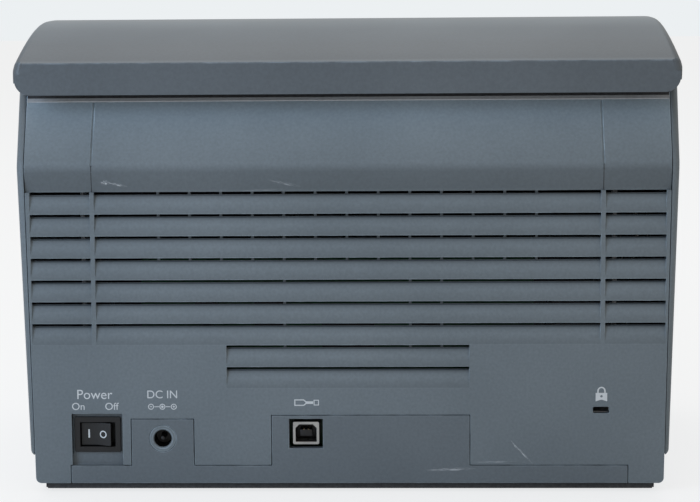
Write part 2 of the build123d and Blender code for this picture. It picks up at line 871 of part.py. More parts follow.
# Power switch: a bezel housing with a rocker that tips about an upright pin
bezel_width = 21.2
bezel_height = 16.4
bezel_thickness = 1.2
switch_depth = 18.0
switch_body_play = 0.2
rocker_half = 7.1
rocker_height = 10.6
rocker_angle = 11.0
rocker_cavity_half = 8.0
rocker_cavity_height = 11.2
rocker_cavity_depth = 7.5
rocker_pivot_y = rear_y - 5.5
rocker_face = 2.6
rocker_pin_radius = 1.0
rocker_pin_reach = 6.2

with BuildPart() as power_switch:
    with BuildSketch(across(rear_wall_y + bezel_thickness)):
        with Locations((switch_x, switch_z)):
            RectangleRounded(bezel_width, bezel_height, 0.8)
    extrude(amount=bezel_thickness)
    with BuildSketch(across(rear_wall_y)):
        with Locations((switch_x, switch_z)):
            Rectangle(switch_hole_width - 2 * switch_body_play, switch_hole_height - 2 * switch_body_play)
    extrude(amount=switch_depth)
    with BuildSketch(across(rear_y)):
        with Locations((switch_x, switch_z)):
            Rectangle(2 * rocker_cavity_half, rocker_cavity_height)
    extrude(amount=rear_y - rear_wall_y + rocker_cavity_depth, mode=Mode.SUBTRACT)
    with Locations((switch_x, rocker_pivot_y, switch_z)):
        Cylinder(rocker_pin_radius + shaft_play, 2 * rocker_pin_reach + 0.1, mode=Mode.SUBTRACT)
finish(power_switch.part, "power_switch")

with BuildPart() as rocker:
    rise = rocker_half * tan(radians(rocker_angle))
    tip = Plane(origin=(switch_x, rocker_pivot_y, switch_z), x_dir=(1, 0, 0), z_dir=(0, 0, 1))
    with BuildSketch(tip.rotated((0, 0, -rocker_angle))):
        with BuildLine():
            Polyline(
                (0, rocker_face),
                (rocker_half, rocker_face + rise),
                (rocker_half - 0.6, 0),
                (rocker_half - 3, -2),
                (3 - rocker_half, -2),
                (0.6 - rocker_half, 0),
                (-rocker_half, rocker_face + rise),
                close=True,
            )
        make_face()
    extrude(amount=rocker_height / 2, both=True)
    with BuildSketch(tip):
        Circle(rocker_pin_radius)
    extrude(amount=rocker_pin_reach, both=True)
finish(rocker.part, "switch_rocker")


# Lid: a shell with a crowned top, leaning ends and a rear skirt; it opens to form the input tray
lid_end_top = side_half_top - lid_end_lean
lid_front_top_y = lid_front_y + 0.5
lid_front_top_z = height - 12.0
lid_front_radius = 6.0
lid_end_rounding = 4.0
lid_band_z = lid_bottom_z + 6.0
skirt_half = side_half_top - 0.8
extension_half = 60.0
extension_low_z = lid_bottom_z + 6.0
extension_thickness = 2.5
extension_back_y = rear_y - 100.0
slot_play = 0.6
rib_back_y = lid_rear_y - wall
ear_play = 1.5
skirt_thin = 1.2
boss_radius = 5.0
boss_thickness = 3.3
boss_gap = 0.7


def lid_form(inset):
    """Solid form of the lid, moved inwards by inset; the inner one runs on below the bottom."""
    with BuildSketch(Plane.XY) as section:
        with BuildLine():
            rear_arc = TangentArc((lid_crest_y, height), (lid_rear_y, lid_crease_z), tangent=(1, 0))
            front_arc = TangentArc((lid_crest_y, height), (lid_front_top_y, lid_front_top_z), tangent=(-1, 0))
            Polyline(rear_arc @ 1, (lid_rear_y, lid_bottom_z), (lid_front_y, lid_bottom_z), front_arc @ 1)
        make_face()
        fillet(section.vertices().sort_by_distance((lid_front_top_y, lid_front_top_z))[0], lid_front_radius)
        if inset:
            offset(amount=-inset, kind=Kind.INTERSECTION)
            with Locations(((lid_front_y + lid_rear_y) / 2, lid_bottom_z)):
                Rectangle(lid_rear_y - lid_front_y - 2 * inset - 0.2, 4 * inset)
    with BuildPart() as form:
        with BuildSketch(side_plane(0)):
            add(section.sketch)
        extrude(amount=side_half_top + 1, both=True)
        for side in (-1, 1):
            upper_end = leaning_plane(side, lid_end_top, side_half_top, height, lid_band_z, inset)
            lower_end = leaning_plane(side, side_half_top, skirt_half, lid_band_z, skirt_bottom_z, inset)
            split(bisect_by=upper_end, keep=Keep.BOTTOM)
            split(bisect_by=lower_end, keep=Keep.BOTTOM)
        if not inset:
            ends = [f for f in form.faces() if abs(f.normal_at().X) > 0.9 and f.center().Z > lid_band_z]
            for face in ends:
                fillet([e for e in face.edges() if e.center().Z > lid_band_z + 1], lid_end_rounding)
    return form.part


with BuildPart() as lid:
    add(lid_form(0))
    add(lid_form(wall), mode=Mode.SUBTRACT)
    with BuildSketch(across(lid_rear_y)) as skirt:
        with Locations((0, skirt_bottom_z)):
            Rectangle(2 * skirt_half, lid_crease_z - 5 - skirt_bottom_z, align=(Align.CENTER, Align.MIN))
        fillet(skirt.vertices().group_by(Axis.Y)[0], skirt_corner)
    extrude(amount=wall)
    for side in (-1, 1):
        ear_middle = side * (frame_x + steel / 2)
        with BuildSketch(across(lid_rear_y - skirt_thin)):
            with Locations((ear_middle, skirt_bottom_z)):
                Rectangle(steel + 2 * ear_play, 2 * (hinge_z - skirt_bottom_z))
        extrude(amount=2 * wall, mode=Mode.SUBTRACT)
        for step in (-1, 1):
            start = ear_middle + step * (steel / 2 + boss_gap)
            with BuildSketch(side_plane(start)):
                with Locations((hinge_y, hinge_z)):
                    Circle(boss_radius)
                with BuildLine():
                    Polyline(
                        (hinge_y - boss_radius, hinge_z),
                        (rib_back_y + 0.5, hinge_z),
                        (rib_back_y + 0.5, lid_crease_z - 1),
                        (hinge_y - boss_radius, lid_crease_z + 3),
                        close=True,
                    )
                make_face()
                with Locations((hinge_y, hinge_z)):
                    Circle(hinge_pin_radius + shaft_play, mode=Mode.SUBTRACT)
            extrude(amount=step * boss_thickness)
    with BuildSketch(across(lid_front_y - 1)):
        with Locations((0, extension_low_z - slot_play)):
            slot_height = extension_thickness + 2 * slot_play + 1
            Rectangle(2 * (extension_half + slot_play), slot_height, align=(Align.CENTER, Align.MIN))
    extrude(amount=-2 * wall, mode=Mode.SUBTRACT)
finish(lid.part, "lid_shell")

with BuildPart() as hinge_pins:
    for side in (-1, 1):
        with BuildSketch(side_plane(side * (frame_x - boss_gap - boss_thickness))):
            with Locations((hinge_y, hinge_z)):
                Circle(hinge_pin_radius)
        extrude(amount=side * (steel + 2 * boss_gap + 2 * boss_thickness))
finish(hinge_pins.part, "lid_hinge_pins")


# Guide rack and pinion, hidden between the lid and its lining
tooth_module = 1.0
pinion_teeth = 16
pinion_y = rear_y - 60.0
pinion_radius = tooth_module * pinion_teeth / 2
addendum = 0.85 * tooth_module
dedendum = 1.25 * tooth_module
pressure_angle = radians(20)
backlash = 0.25
gear_low_z = lid_bottom_z + 2.5
gear_thickness = 2.5
post_radius = 2.5

# Lining: the plate that the paper rests on once the lid is open
lining_thickness = 2.0
lining_half = side_half_top - 3.6
lining_back_y = rear_y - 22.0
lining_front_y = lid_front_y + wall + 0.3
runner_x = 55.0
runner_width = 6.0
runner_back_y = extension_back_y + 20.0
fence_rest_x = 111.5
fence_thickness = 2.5
fence_travel = 82.0
fence_front_y = pinion_y - 35.0
fence_back_y = pinion_y + 35.0
fence_low_z = lid_bottom_z - 21.0
stem_length = 6.0
stem_width = 4.0
stem_play = 0.5
rack_back = 4.5
stem_offset = pinion_radius + dedendum + rack_back / 2

with BuildPart() as lining:
    with BuildSketch(Plane.XY.offset(lid_bottom_z)):
        with Locations((0, (lining_front_y + lining_back_y) / 2)):
            Rectangle(2 * lining_half, lining_back_y - lining_front_y)
        for side in (-1, 1):
            with Locations((side * (frame_x + steel / 2), lining_back_y)):
                Rectangle(steel + 2 * ear_play, 2 * (lining_back_y - ear_notch_y), mode=Mode.SUBTRACT)
            slot_inner = fence_rest_x - stem_length - fence_thickness - fence_travel - stem_play
            slot_outer = fence_rest_x - fence_thickness + stem_play
            with Locations((side * (slot_inner + slot_outer) / 2, pinion_y - side * stem_offset)):
                Rectangle(slot_outer - slot_inner, stem_width + 2 * stem_play, mode=Mode.SUBTRACT)
    extrude(amount=lining_thickness)
    with BuildSketch(Plane.XY.offset(lid_bottom_z + lining_thickness)):
        with Locations((0, pinion_y)):
            Circle(post_radius + 2)
    extrude(amount=gear_low_z - lid_bottom_z - lining_thickness - 0.1)
    with BuildSketch(Plane.XY.offset(lid_bottom_z + lining_thickness)):
        for side in (-1, 1):
            with Locations((side * runner_x, (lining_front_y + runner_back_y) / 2)):
                Rectangle(runner_width, runner_back_y - lining_front_y)
        with Locations((0, pinion_y)):
            Circle(post_radius)
    extrude(amount=extension_low_z - gap - lid_bottom_z - lining_thickness)
finish(lining.part, "lid_lining")


def involute(angle):
    """Involute function of a pressure angle."""
    return tan(angle) - angle


def flank_angle(radius, base_radius):
    """Pressure angle of the involute at a radius."""
    return atan2(sqrt(max(0.0, radius ** 2 - base_radius ** 2)), base_radius)


def pinion_outline():
    """Points once round the pinion."""
    base_radius = pinion_radius * cos(pressure_angle)
    half_at_pitch = (pi / 2 * tooth_module - backlash) / (2 * pinion_radius)
    widest = half_at_pitch + involute(pressure_angle)
    tip_radius = pinion_radius + addendum
    steps = 4
    flank = [(pinion_radius - dedendum, widest)]
    for step in range(steps + 1):
        radius = base_radius + (tip_radius - base_radius) * step / steps
        flank.append((radius, widest - involute(flank_angle(radius, base_radius))))
    points = []
    for tooth in range(pinion_teeth):
        middle = 2 * pi * tooth / pinion_teeth
        points += [(r * cos(middle - a), r * sin(middle - a)) for r, a in flank]
        points += [(r * cos(middle + a), r * sin(middle + a)) for r, a in reversed(flank)]
    return points


with BuildPart() as pinion:
    with BuildSketch(Plane(origin=(0, pinion_y, gear_low_z))):
        with BuildLine():
            Polyline(*pinion_outline(), close=True)
        make_face()
        Circle(post_radius + shaft_play, mode=Mode.SUBTRACT)
    extrude(amount=gear_thickness)
finish(pinion.part, "guide_pinion")


def rack_outline(start, end):
    """Rack along x with its teeth towards -y, pitch line at zero height."""
    pitch = pi * tooth_module
    lean = tan(pressure_angle)
    root_half = pitch / 4 + dedendum * lean
    tip_half = pitch / 4 - addendum * lean
    points = [(start, dedendum + rack_back), (start, dedendum)]
    for tooth in range(int(start / pitch) + 1, int(end / pitch) - 1):
        middle = (tooth + 0.5) * pitch
        points += [(middle - root_half, dedendum), (middle - tip_half, -addendum)]
        points += [(middle + tip_half, -addendum), (middle + root_half, dedendum)]
    points += [(end, dedendum), (end, dedendum + rack_back)]
    return points


rack_inner_end = 14.0
flange_length = 14.0
flange_gap = 0.3
flange_thick = 1.5

for side, name in ((-1, "paper_guide_left"), (1, "paper_guide_right")):
    fence_outer = side * fence_rest_x
    stem_outer = side * (fence_rest_x - fence_thickness)
    top_z = lid_bottom_z - flange_gap
    rack_y = pinion_y - side * stem_offset
    with BuildPart() as guide:
        with BuildSketch(side_plane(fence_outer)):
            with BuildLine():
                Polyline(
                    (fence_front_y, fence_low_z),
                    (fence_back_y - 13, fence_low_z),
                    (fence_back_y, fence_low_z + 14),
                    (fence_back_y, top_z),
                    (fence_front_y, top_z),
                    close=True,
                )
            make_face()
        extrude(amount=-side * fence_thickness)
        with BuildSketch(Plane.XY.offset(top_z)):
            with Locations((fence_outer - side * flange_length / 2, (fence_front_y + fence_back_y) / 2)):
                Rectangle(flange_length, fence_back_y - fence_front_y - 8)
        extrude(amount=-flange_thick)
        with BuildSketch(Plane.XY.offset(top_z - flange_thick)):
            with Locations((stem_outer - side * stem_length / 2, rack_y)):
                Rectangle(stem_length, stem_width)
        extrude(amount=gear_low_z - top_z + flange_thick + 0.5)
        pitch_line = Plane(origin=(0, pinion_y - side * pinion_radius, gear_low_z), x_dir=(-side, 0, 0))
        with BuildSketch(pitch_line):
            with BuildLine():
                Polyline(*rack_outline(-fence_rest_x + fence_thickness, rack_inner_end), close=True)
            make_face()
        extrude(amount=gear_thickness)
    finish(guide.part, name)


# Tray extension: a flat slide that comes out of the front edge of the lid
extension_lip = 2.2

with BuildPart() as extension:
    with BuildSketch(Plane.XY.offset(extension_low_z)):
        with Locations((0, (lid_front_y + extension_back_y) / 2)):
            Rectangle(2 * extension_half, extension_back_y - lid_front_y)
    extrude(amount=extension_thickness)
    with BuildSketch(across(lid_front_y + extension_lip)):
        with Locations((0, extension_low_z)):
            Rectangle(2 * extension_half, extension_thickness + 1, align=(Align.CENTER, Align.MIN))
    extrude(amount=extension_lip)
finish(extension.part, "tray_extension")


# Front unit: swings forward about its lower arms and carries the front half of the paper path
front_play = 0.1
arm_thickness = 4.0
arm_radius = 8.0
arm_top_z = front_bottom_z + 4
front_guide_start = -4.0
lever_y = front_top_end_y - 12.0
lever_z = front_top_z - 6.5
lever_bar_radius = 1.5
hook_width = 6.0
hook_thickness = 2.0
hook_play = 0.5
tab_length = 16.0
tab_thickness = 2.4
hook_x = front_half - 6.5
hook_slot_front_y = lever_y - 19.0
hook_slot_back_y = lever_y + 17.0
strike_y = lever_y + 9.5
strike_z = lever_z + 9.2
strike_radius = 0.9
front_rounding = 10.0
brake_place = path_point(pick_t, brake_radius + roller_gap)
pinch_places = (
    path_point(drive_t, pinch_radius + roller_gap),
    path_point(eject_t, pinch_radius + roller_gap),
)

# Operator panel on the right of the front face
panel_x = front_half - 30.0
panel_z = front_top_z - 49.5
panel_width = 40.0
panel_height = 70.0
panel_thickness = 1.5
start_radius = 9.0
start_z = panel_z - 19.0
small_button_radius = 6.0
stop_z = panel_z + 3.0
mode_z = panel_z + 21.0
button_play = 0.4
button_travel = 0.8
button_flange = 1.5
button_back_y = front_face_y + wall + 0.2 + button_flange
switch_play = 0.3
switch_board_y = button_back_y + button_travel + switch_play
board_post_radius = 2.5
board_post_inset = 4.0
lamp_radius = 1.6
lamp_offset_x = 13.0
buttons = (
    ("start_button", start_z, start_radius),
    ("stop_button", stop_z, small_button_radius),
    ("mode_button", mode_z, small_button_radius),
)


def button_holes(play):
    """Round holes for the buttons and lamps in the front face."""
    for _, z, radius in buttons:
        with Locations((panel_x, z)):
            Circle(radius + play)
    with Locations(*[(panel_x + lamp_offset_x, z) for z in (stop_z, mode_z)]):
        Circle(lamp_radius + play / 2)


with BuildSketch(Plane.XY) as front_section:
    with BuildLine():
        Polyline(
            (front_face_y, front_bottom_z),
            (front_face_y, front_top_z),
            (front_top_end_y, front_top_z),
            path_point(front_guide_start, path_gap),
            path_point(path_end, path_gap),
            close=True,
        )
    make_face()
    fillet(front_section.vertices().sort_by_distance((front_face_y, front_top_z))[0], front_rounding)
    fillet(front_section.vertices().sort_by_distance((front_top_end_y, front_top_z))[0], front_rounding)

with BuildSketch(Plane.XY) as front_inside:
    add(front_section.sketch)
    offset(amount=-wall, kind=Kind.INTERSECTION)

with BuildPart() as front_cover:
    with BuildSketch(side_plane(-front_half)):
        add(front_section.sketch)
    extrude(amount=2 * front_half)
    with BuildSketch(side_plane(-front_half + wall)):
        add(front_inside.sketch)
    extrude(amount=2 * (front_half - wall), mode=Mode.SUBTRACT)
    with BuildSketch(path_plane(-front_half + wall)):
        with Locations(((front_guide_start + path_end) / 2, path_gap - 1)):
            Rectangle(path_end - front_guide_start + 4, guide_thickness + 1, align=(Align.CENTER, Align.MIN))
    extrude(amount=-2 * (front_half - wall), mode=Mode.SUBTRACT)
    for side in (-1, 1):
        with BuildSketch(side_plane(side * front_half)):
            with Locations((front_hinge_y, front_hinge_z)):
                Circle(arm_radius)
            with Locations((front_hinge_y, (front_hinge_z + arm_top_z) / 2)):
                Rectangle(2 * arm_radius, arm_top_z - front_hinge_z)
            with Locations((front_hinge_y, front_hinge_z)):
                Circle(front_pin_radius, mode=Mode.SUBTRACT)
        extrude(amount=-side * arm_thickness)
    with BuildSketch(side_plane(-front_half + front_play)):
        with Locations(brake_place, *pinch_places):
            Circle(pinch_shaft_radius + shaft_play)
        with Locations((lever_y, lever_z)):
            Circle(lever_bar_radius + shaft_play)
    extrude(amount=2 * (front_half - front_play), mode=Mode.SUBTRACT)
    with BuildSketch(Plane.XY.offset(front_top_z + 1)):
        for side in (-1, 1):
            with Locations((side * hook_x, (hook_slot_front_y + hook_slot_back_y) / 2)):
                Rectangle(hook_width + 2, hook_slot_back_y - hook_slot_front_y)
    extrude(amount=-(wall + 4), mode=Mode.SUBTRACT)
    with BuildSketch(across(front_face_y + wall + 1)):
        button_holes(button_play)
    extrude(amount=wall + 2, mode=Mode.SUBTRACT)
    post_span_x = panel_width - 2 * board_post_inset
    post_span_z = panel_height - 2 * board_post_inset
    with BuildSketch(across(switch_board_y)):
        with Locations((panel_x, panel_z)):
            with GridLocations(post_span_x, post_span_z, 2, 2):
                Circle(board_post_radius)
    extrude(amount=switch_board_y - front_face_y - wall / 2)
finish(front_cover.part, "front_cover")

with BuildPart() as front_pins:
    for side in (-1, 1):
        with BuildSketch(side_plane(side * (front_half - arm_thickness))):
            with Locations((front_hinge_y, front_hinge_z)):
                Circle(front_pin_radius)
        extrude(amount=side * (frame_x + steel - front_half + arm_thickness))
finish(front_pins.part, "front_hinge_pins")

with BuildPart() as front_guide:
    half = front_half - wall - front_play
    with BuildSketch(path_plane(-half)):
        with Locations(((front_guide_start + path_end) / 2, path_gap)):
            Rectangle(path_end - front_guide_start, guide_thickness, align=(Align.CENTER, Align.MIN))
    extrude(amount=-2 * half)
    with BuildSketch(guide_face.offset(1)):
        with Locations(((glass_start + glass_end) / 2, 0)):
            Rectangle(glass_end - glass_start, 2 * sensor_half)
        tyre_windows(pick_t, brake_radius, pick_places, pick_width)
        tyre_windows(drive_t, pinch_radius, tyre_places, tyre_width)
        tyre_windows(eject_t, pinch_radius, tyre_places, tyre_width)
    extrude(amount=guide_thickness + 2, both=True, mode=Mode.SUBTRACT)
    with BuildSketch(side_plane(-half)):
        with Locations(*pinch_places):
            Circle(pinch_shaft_radius + gap)
    extrude(amount=2 * half, mode=Mode.SUBTRACT)
finish(front_guide.part, "front_paper_guide")

sensor_pieces("front", 1)


def idle_roller(name, place, radius, places, tyre_length):
    """Free roller of the front unit: a thin shaft with its tyres."""
    with BuildPart() as roller:
        with BuildSketch(side_plane(0)):
            with Locations(place):
                Circle(pinch_shaft_radius)
        extrude(amount=front_half - front_play - 0.1, both=True)
        for x in places:
            with BuildSketch(side_plane(x)):
                with Locations(place):
                    Circle(radius)
            extrude(amount=tyre_length / 2, both=True)
    finish(roller.part, name)


idle_roller("brake_roller", brake_place, brake_radius, pick_places, pick_width)
idle_roller("pinch_rollers_upper", pinch_places[0], pinch_radius, tyre_places, tyre_width)
idle_roller("pinch_rollers_lower", pinch_places[1], pinch_radius, tyre_places, tyre_width)

hook_back_y = strike_y + strike_radius + hook_play
hook_under_z = strike_z + strike_radius + hook_play
hook_stem_y = strike_y - strike_radius - hook_play
with BuildPart() as lever:
    with BuildSketch(side_plane(0)):
        with Locations((lever_y, lever_z)):
            Circle(lever_bar_radius)
    extrude(amount=front_half - front_play - 0.1, both=True)
    for side in (-1, 1):
        with BuildSketch(side_plane(side * hook_x)):
            with Locations((lever_y, lever_z)):
                Circle(lever_bar_radius + hook_thickness)
            with BuildLine():
                Polyline(
                    (lever_y - hook_thickness / 2, lever_z),
                    (lever_y + hook_thickness, lever_z),
                    (hook_stem_y, strike_z - 2 * hook_thickness),
                    (hook_stem_y, hook_under_z),
                    (hook_back_y, hook_under_z),
                    (hook_back_y, strike_z - strike_radius),
                    (hook_back_y + hook_thickness, strike_z - strike_radius),
                    (hook_back_y + hook_thickness, hook_under_z + hook_thickness),
                    (hook_stem_y - hook_thickness, hook_under_z + hook_thickness),
                    close=True,
                )
            make_face()
            if side > 0:
                tab_top_z = front_top_z - 0.1
                with BuildLine():
                    Polyline(
                        (lever_y, lever_z - 1),
                        (lever_y - 3, tab_top_z),
                        (lever_y - tab_length, tab_top_z),
                        (lever_y - tab_length, tab_top_z - tab_thickness),
                        close=True,
                    )
                make_face()
        extrude(amount=hook_width / 2, both=True)
finish(lever.part, "release_lever")

with BuildPart() as strikes:
    for side in (-1, 1):
        with BuildSketch(side_plane(side * cheek_x)):
            with Locations((strike_y, strike_z)):
                Circle(strike_radius)
        extrude(amount=-side * (cheek_x - hook_x + hook_width / 2 + 1))
finish(strikes.part, "latch_strikes")

with BuildPart() as panel:
    with BuildSketch(across(front_face_y)):
        with Locations((panel_x, panel_z)):
            RectangleRounded(panel_width, panel_height, 5)
    extrude(amount=panel_thickness)
    fillet(panel.faces().sort_by(Axis.Y)[0].edges(), 0.6)
    with BuildSketch(across(front_face_y + 1)):
        button_holes(button_play)
    extrude(amount=panel_thickness + 2, mode=Mode.SUBTRACT)
finish(panel.part, "control_panel")

with BuildPart() as lamps:
    with BuildSketch(across(front_face_y + wall + 0.5)):
        with Locations(*[(panel_x + lamp_offset_x, z) for z in (stop_z, mode_z)]):
            Circle(lamp_radius)
    extrude(amount=wall + panel_thickness + 0.7)
finish(lamps.part, "status_lamps")

for name, z, radius in buttons:
    with BuildPart() as button:
        with BuildSketch(across(button_back_y)):
            with Locations((panel_x, z)):
                Circle(radius + 1.5)
        extrude(amount=button_flange)
        with BuildSketch(across(button_back_y)):
            with Locations((panel_x, z)):
                Circle(radius)
        extrude(amount=button_back_y - front_y)
        fillet(button.edges().filter_by(GeomType.CIRCLE).sort_by(Axis.Y)[0], 0.6)
    finish(button.part, name)

with BuildPart() as button_board:
    with BuildSketch(across(switch_board_y + board_thickness)):
        with Locations((panel_x, panel_z)):
            Rectangle(panel_width, panel_height)
    extrude(amount=board_thickness)
finish(button_board.part, "button_board")


# Output tray: a flat sleeve with a sliding extension and a paper stop that folds up
tray_low_z = floor_z + gap
tray_high_z = 20.0
tray_skin = 2.4
tray_front_y = front_y + 3.0
tray_back_y = 35.0
tray_top_front_y = tray_front_y + 39.0
slide_play = 0.3
tray_scoop = 15.0
slide_scoop = 11.0
slide_low_z = tray_low_z + tray_skin + slide_play
slide_high_z = tray_high_z - tray_skin - slide_play
slide_half = tray_half - 4 - slide_play
slide_front_y = tray_front_y + 0.5
slide_back_y = tray_back_y - 5.0
slide_top = 3.0
stop_half = 44.0
stop_axis_y = slide_front_y + 7.0
stop_length = 29.0
stop_thickness = 2.6
stop_pin_radius = 1.0
stop_pin_reach = 3.0
stop_play = 0.6
stop_axis_z = slide_high_z - stop_thickness / 2

with BuildPart() as output_tray:
    with BuildSketch(Plane.XY.offset(tray_low_z)):
        with Locations((0, (tray_front_y + tray_back_y) / 2)):
            RectangleRounded(2 * tray_half, tray_back_y - tray_front_y, 3)
    extrude(amount=tray_high_z - tray_low_z)
    with BuildSketch(Plane.XY.offset(tray_low_z + tray_skin)):
        with Locations((0, (tray_front_y + tray_back_y) / 2 - 2)):
            Rectangle(2 * (tray_half - 4), tray_back_y - tray_front_y)
    extrude(amount=tray_high_z - tray_low_z - 2 * tray_skin, mode=Mode.SUBTRACT)
    with BuildSketch(Plane.XY.offset(tray_low_z + tray_skin)):
        with Locations((0, (tray_front_y + tray_top_front_y) / 2 - 2)):
            Rectangle(2 * (tray_half - 4), tray_top_front_y - tray_front_y + 4)
    extrude(amount=tray_high_z, mode=Mode.SUBTRACT)
    with BuildSketch(Plane.XY.offset(tray_low_z - 1)):
        with Locations((0, tray_front_y)):
            Circle(tray_scoop)
    extrude(amount=tray_skin + 2, mode=Mode.SUBTRACT)
finish(output_tray.part, "output_tray")

with BuildPart() as slide:
    with BuildSketch(Plane.XY.offset(slide_low_z)):
        with Locations((0, (slide_front_y + slide_back_y) / 2)):
            Rectangle(2 * slide_half, slide_back_y - slide_front_y)
    extrude(amount=slide_high_z - slide_low_z)
    with BuildSketch(Plane.XY.offset(slide_low_z)):
        with Locations((0, (slide_front_y + slide_back_y) / 2 + wall)):
            Rectangle(2 * (slide_half - wall), slide_back_y - slide_front_y)
    extrude(amount=slide_high_z - slide_low_z - slide_top, mode=Mode.SUBTRACT)
    with BuildSketch(Plane.XY.offset(slide_high_z + 1)):
        with Locations((0, stop_axis_y + (stop_length - stop_thickness / 2) / 2)):
            Rectangle(2 * (stop_half + stop_play), stop_length + stop_thickness / 2 + 2 * stop_play)
    extrude(amount=-slide_top - 2, mode=Mode.SUBTRACT)
    with BuildSketch(side_plane(-stop_half - stop_pin_reach - 0.1)):
        with Locations((stop_axis_y, stop_axis_z)):
            Circle(stop_pin_radius + shaft_play)
    extrude(amount=2 * (stop_half + stop_pin_reach + 0.1), mode=Mode.SUBTRACT)
finish(slide.part, "output_extension")

with BuildPart() as stop:
    with BuildSketch(side_plane(-stop_half)):
        with Locations((stop_axis_y, stop_axis_z)):
            Circle(stop_thickness / 2)
        with Locations((stop_axis_y + stop_length / 2, stop_axis_z)):
            Rectangle(stop_length, stop_thickness)
    extrude(amount=2 * stop_half)
    with BuildSketch(side_plane(-stop_half - stop_pin_reach)):
        with Locations((stop_axis_y, stop_axis_z)):
            Circle(stop_pin_radius)
    extrude(amount=2 * (stop_half + stop_pin_reach))
finish(stop.part, "paper_stop")
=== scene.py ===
import json
from math import cos, radians, sin

import bmesh
import bpy
from mathutils import Matrix, Vector
from mathutils.bvhtree import BVHTree

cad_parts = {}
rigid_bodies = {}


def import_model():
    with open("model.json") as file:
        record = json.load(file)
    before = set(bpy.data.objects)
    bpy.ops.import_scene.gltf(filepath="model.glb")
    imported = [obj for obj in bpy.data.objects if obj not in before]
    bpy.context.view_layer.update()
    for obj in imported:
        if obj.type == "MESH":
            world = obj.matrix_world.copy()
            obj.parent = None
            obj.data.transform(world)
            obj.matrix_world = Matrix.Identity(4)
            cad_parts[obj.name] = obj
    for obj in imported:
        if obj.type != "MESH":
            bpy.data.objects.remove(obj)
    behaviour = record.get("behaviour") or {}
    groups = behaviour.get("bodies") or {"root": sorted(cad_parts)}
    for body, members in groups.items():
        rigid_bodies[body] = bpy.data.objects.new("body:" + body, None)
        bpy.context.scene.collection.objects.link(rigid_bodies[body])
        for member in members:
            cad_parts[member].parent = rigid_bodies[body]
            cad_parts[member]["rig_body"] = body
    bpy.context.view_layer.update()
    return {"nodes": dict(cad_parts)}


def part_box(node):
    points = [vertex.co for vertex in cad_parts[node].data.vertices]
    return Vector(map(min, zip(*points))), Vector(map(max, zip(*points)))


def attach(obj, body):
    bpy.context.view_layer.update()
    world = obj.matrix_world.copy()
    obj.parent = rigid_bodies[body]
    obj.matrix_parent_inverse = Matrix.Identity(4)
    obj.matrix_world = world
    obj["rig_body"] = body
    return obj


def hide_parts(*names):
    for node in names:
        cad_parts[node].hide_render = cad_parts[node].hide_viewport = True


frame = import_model()
nodes = frame["nodes"]


# Base chassis
# Injection-moulded ABS tray that carries everything: a low rim, a rear wall
# for the ports and two rails. Charcoal, with the fine matt of a spark-eroded tool.
def linear(code, alpha=1.0):
    """Scene-linear colour of an sRGB hex code."""
    parts = [int(code[i:i + 2], 16) / 255 for i in (1, 3, 5)]
    return [p / 12.92 if p <= 0.04045 else ((p + 0.055) / 1.055) ** 2.4 for p in parts] + [alpha]


def put(tree, kind, settings, inputs):
    """Add one node with its settings; an input is a value or another node's output."""
    node = tree.nodes.new(kind)
    for name, value in settings.items():
        setattr(node, name, value)
    for name, value in inputs.items():
        if isinstance(value, bpy.types.NodeSocket):
            tree.links.new(value, node.inputs[name])
        else:
            node.inputs[name].default_value = value
    return node


def new_material(name):
    """Empty node material with its output; returns the material, its tree and the output."""
    material = bpy.data.materials.new(name)
    material.use_nodes = True
    tree = material.node_tree
    tree.nodes.clear()
    return material, tree, tree.nodes.new("ShaderNodeOutputMaterial")


def set_stops(ramp_node, stops):
    """Give a colour ramp its stops, each a position and a colour."""
    elements = ramp_node.color_ramp.elements
    elements[0].position, elements[0].color = stops[0]
    elements[-1].position, elements[-1].color = stops[-1]
    for position, colour in stops[1:-1]:
        elements.new(position).color = colour


def edge_gain(tree, place, most):
    """Factor for the colour: 1 on the faces, more on the rounded edges, where handling rubs in patches."""
    edge = put(tree, "ShaderNodeAttribute", {"attribute_name": "rubbed_edge"}, {})
    patches = put(tree, "ShaderNodeTexNoise", {}, {"Vector": place, "Scale": 1000 / 9, "Detail": 4.0})
    broken = put(tree, "ShaderNodeMapRange", {}, {
        "Value": patches.outputs["Fac"], "From Min": 0.4, "From Max": 0.64, "To Min": 0.08 * most,
        "To Max": most})
    gain = put(tree, "ShaderNodeMath", {"operation": "MULTIPLY_ADD"}, {
        0: edge.outputs["Fac"], 1: broken.outputs[0], 2: 1.0})
    return gain.outputs[0]


machine_height_mm = 212


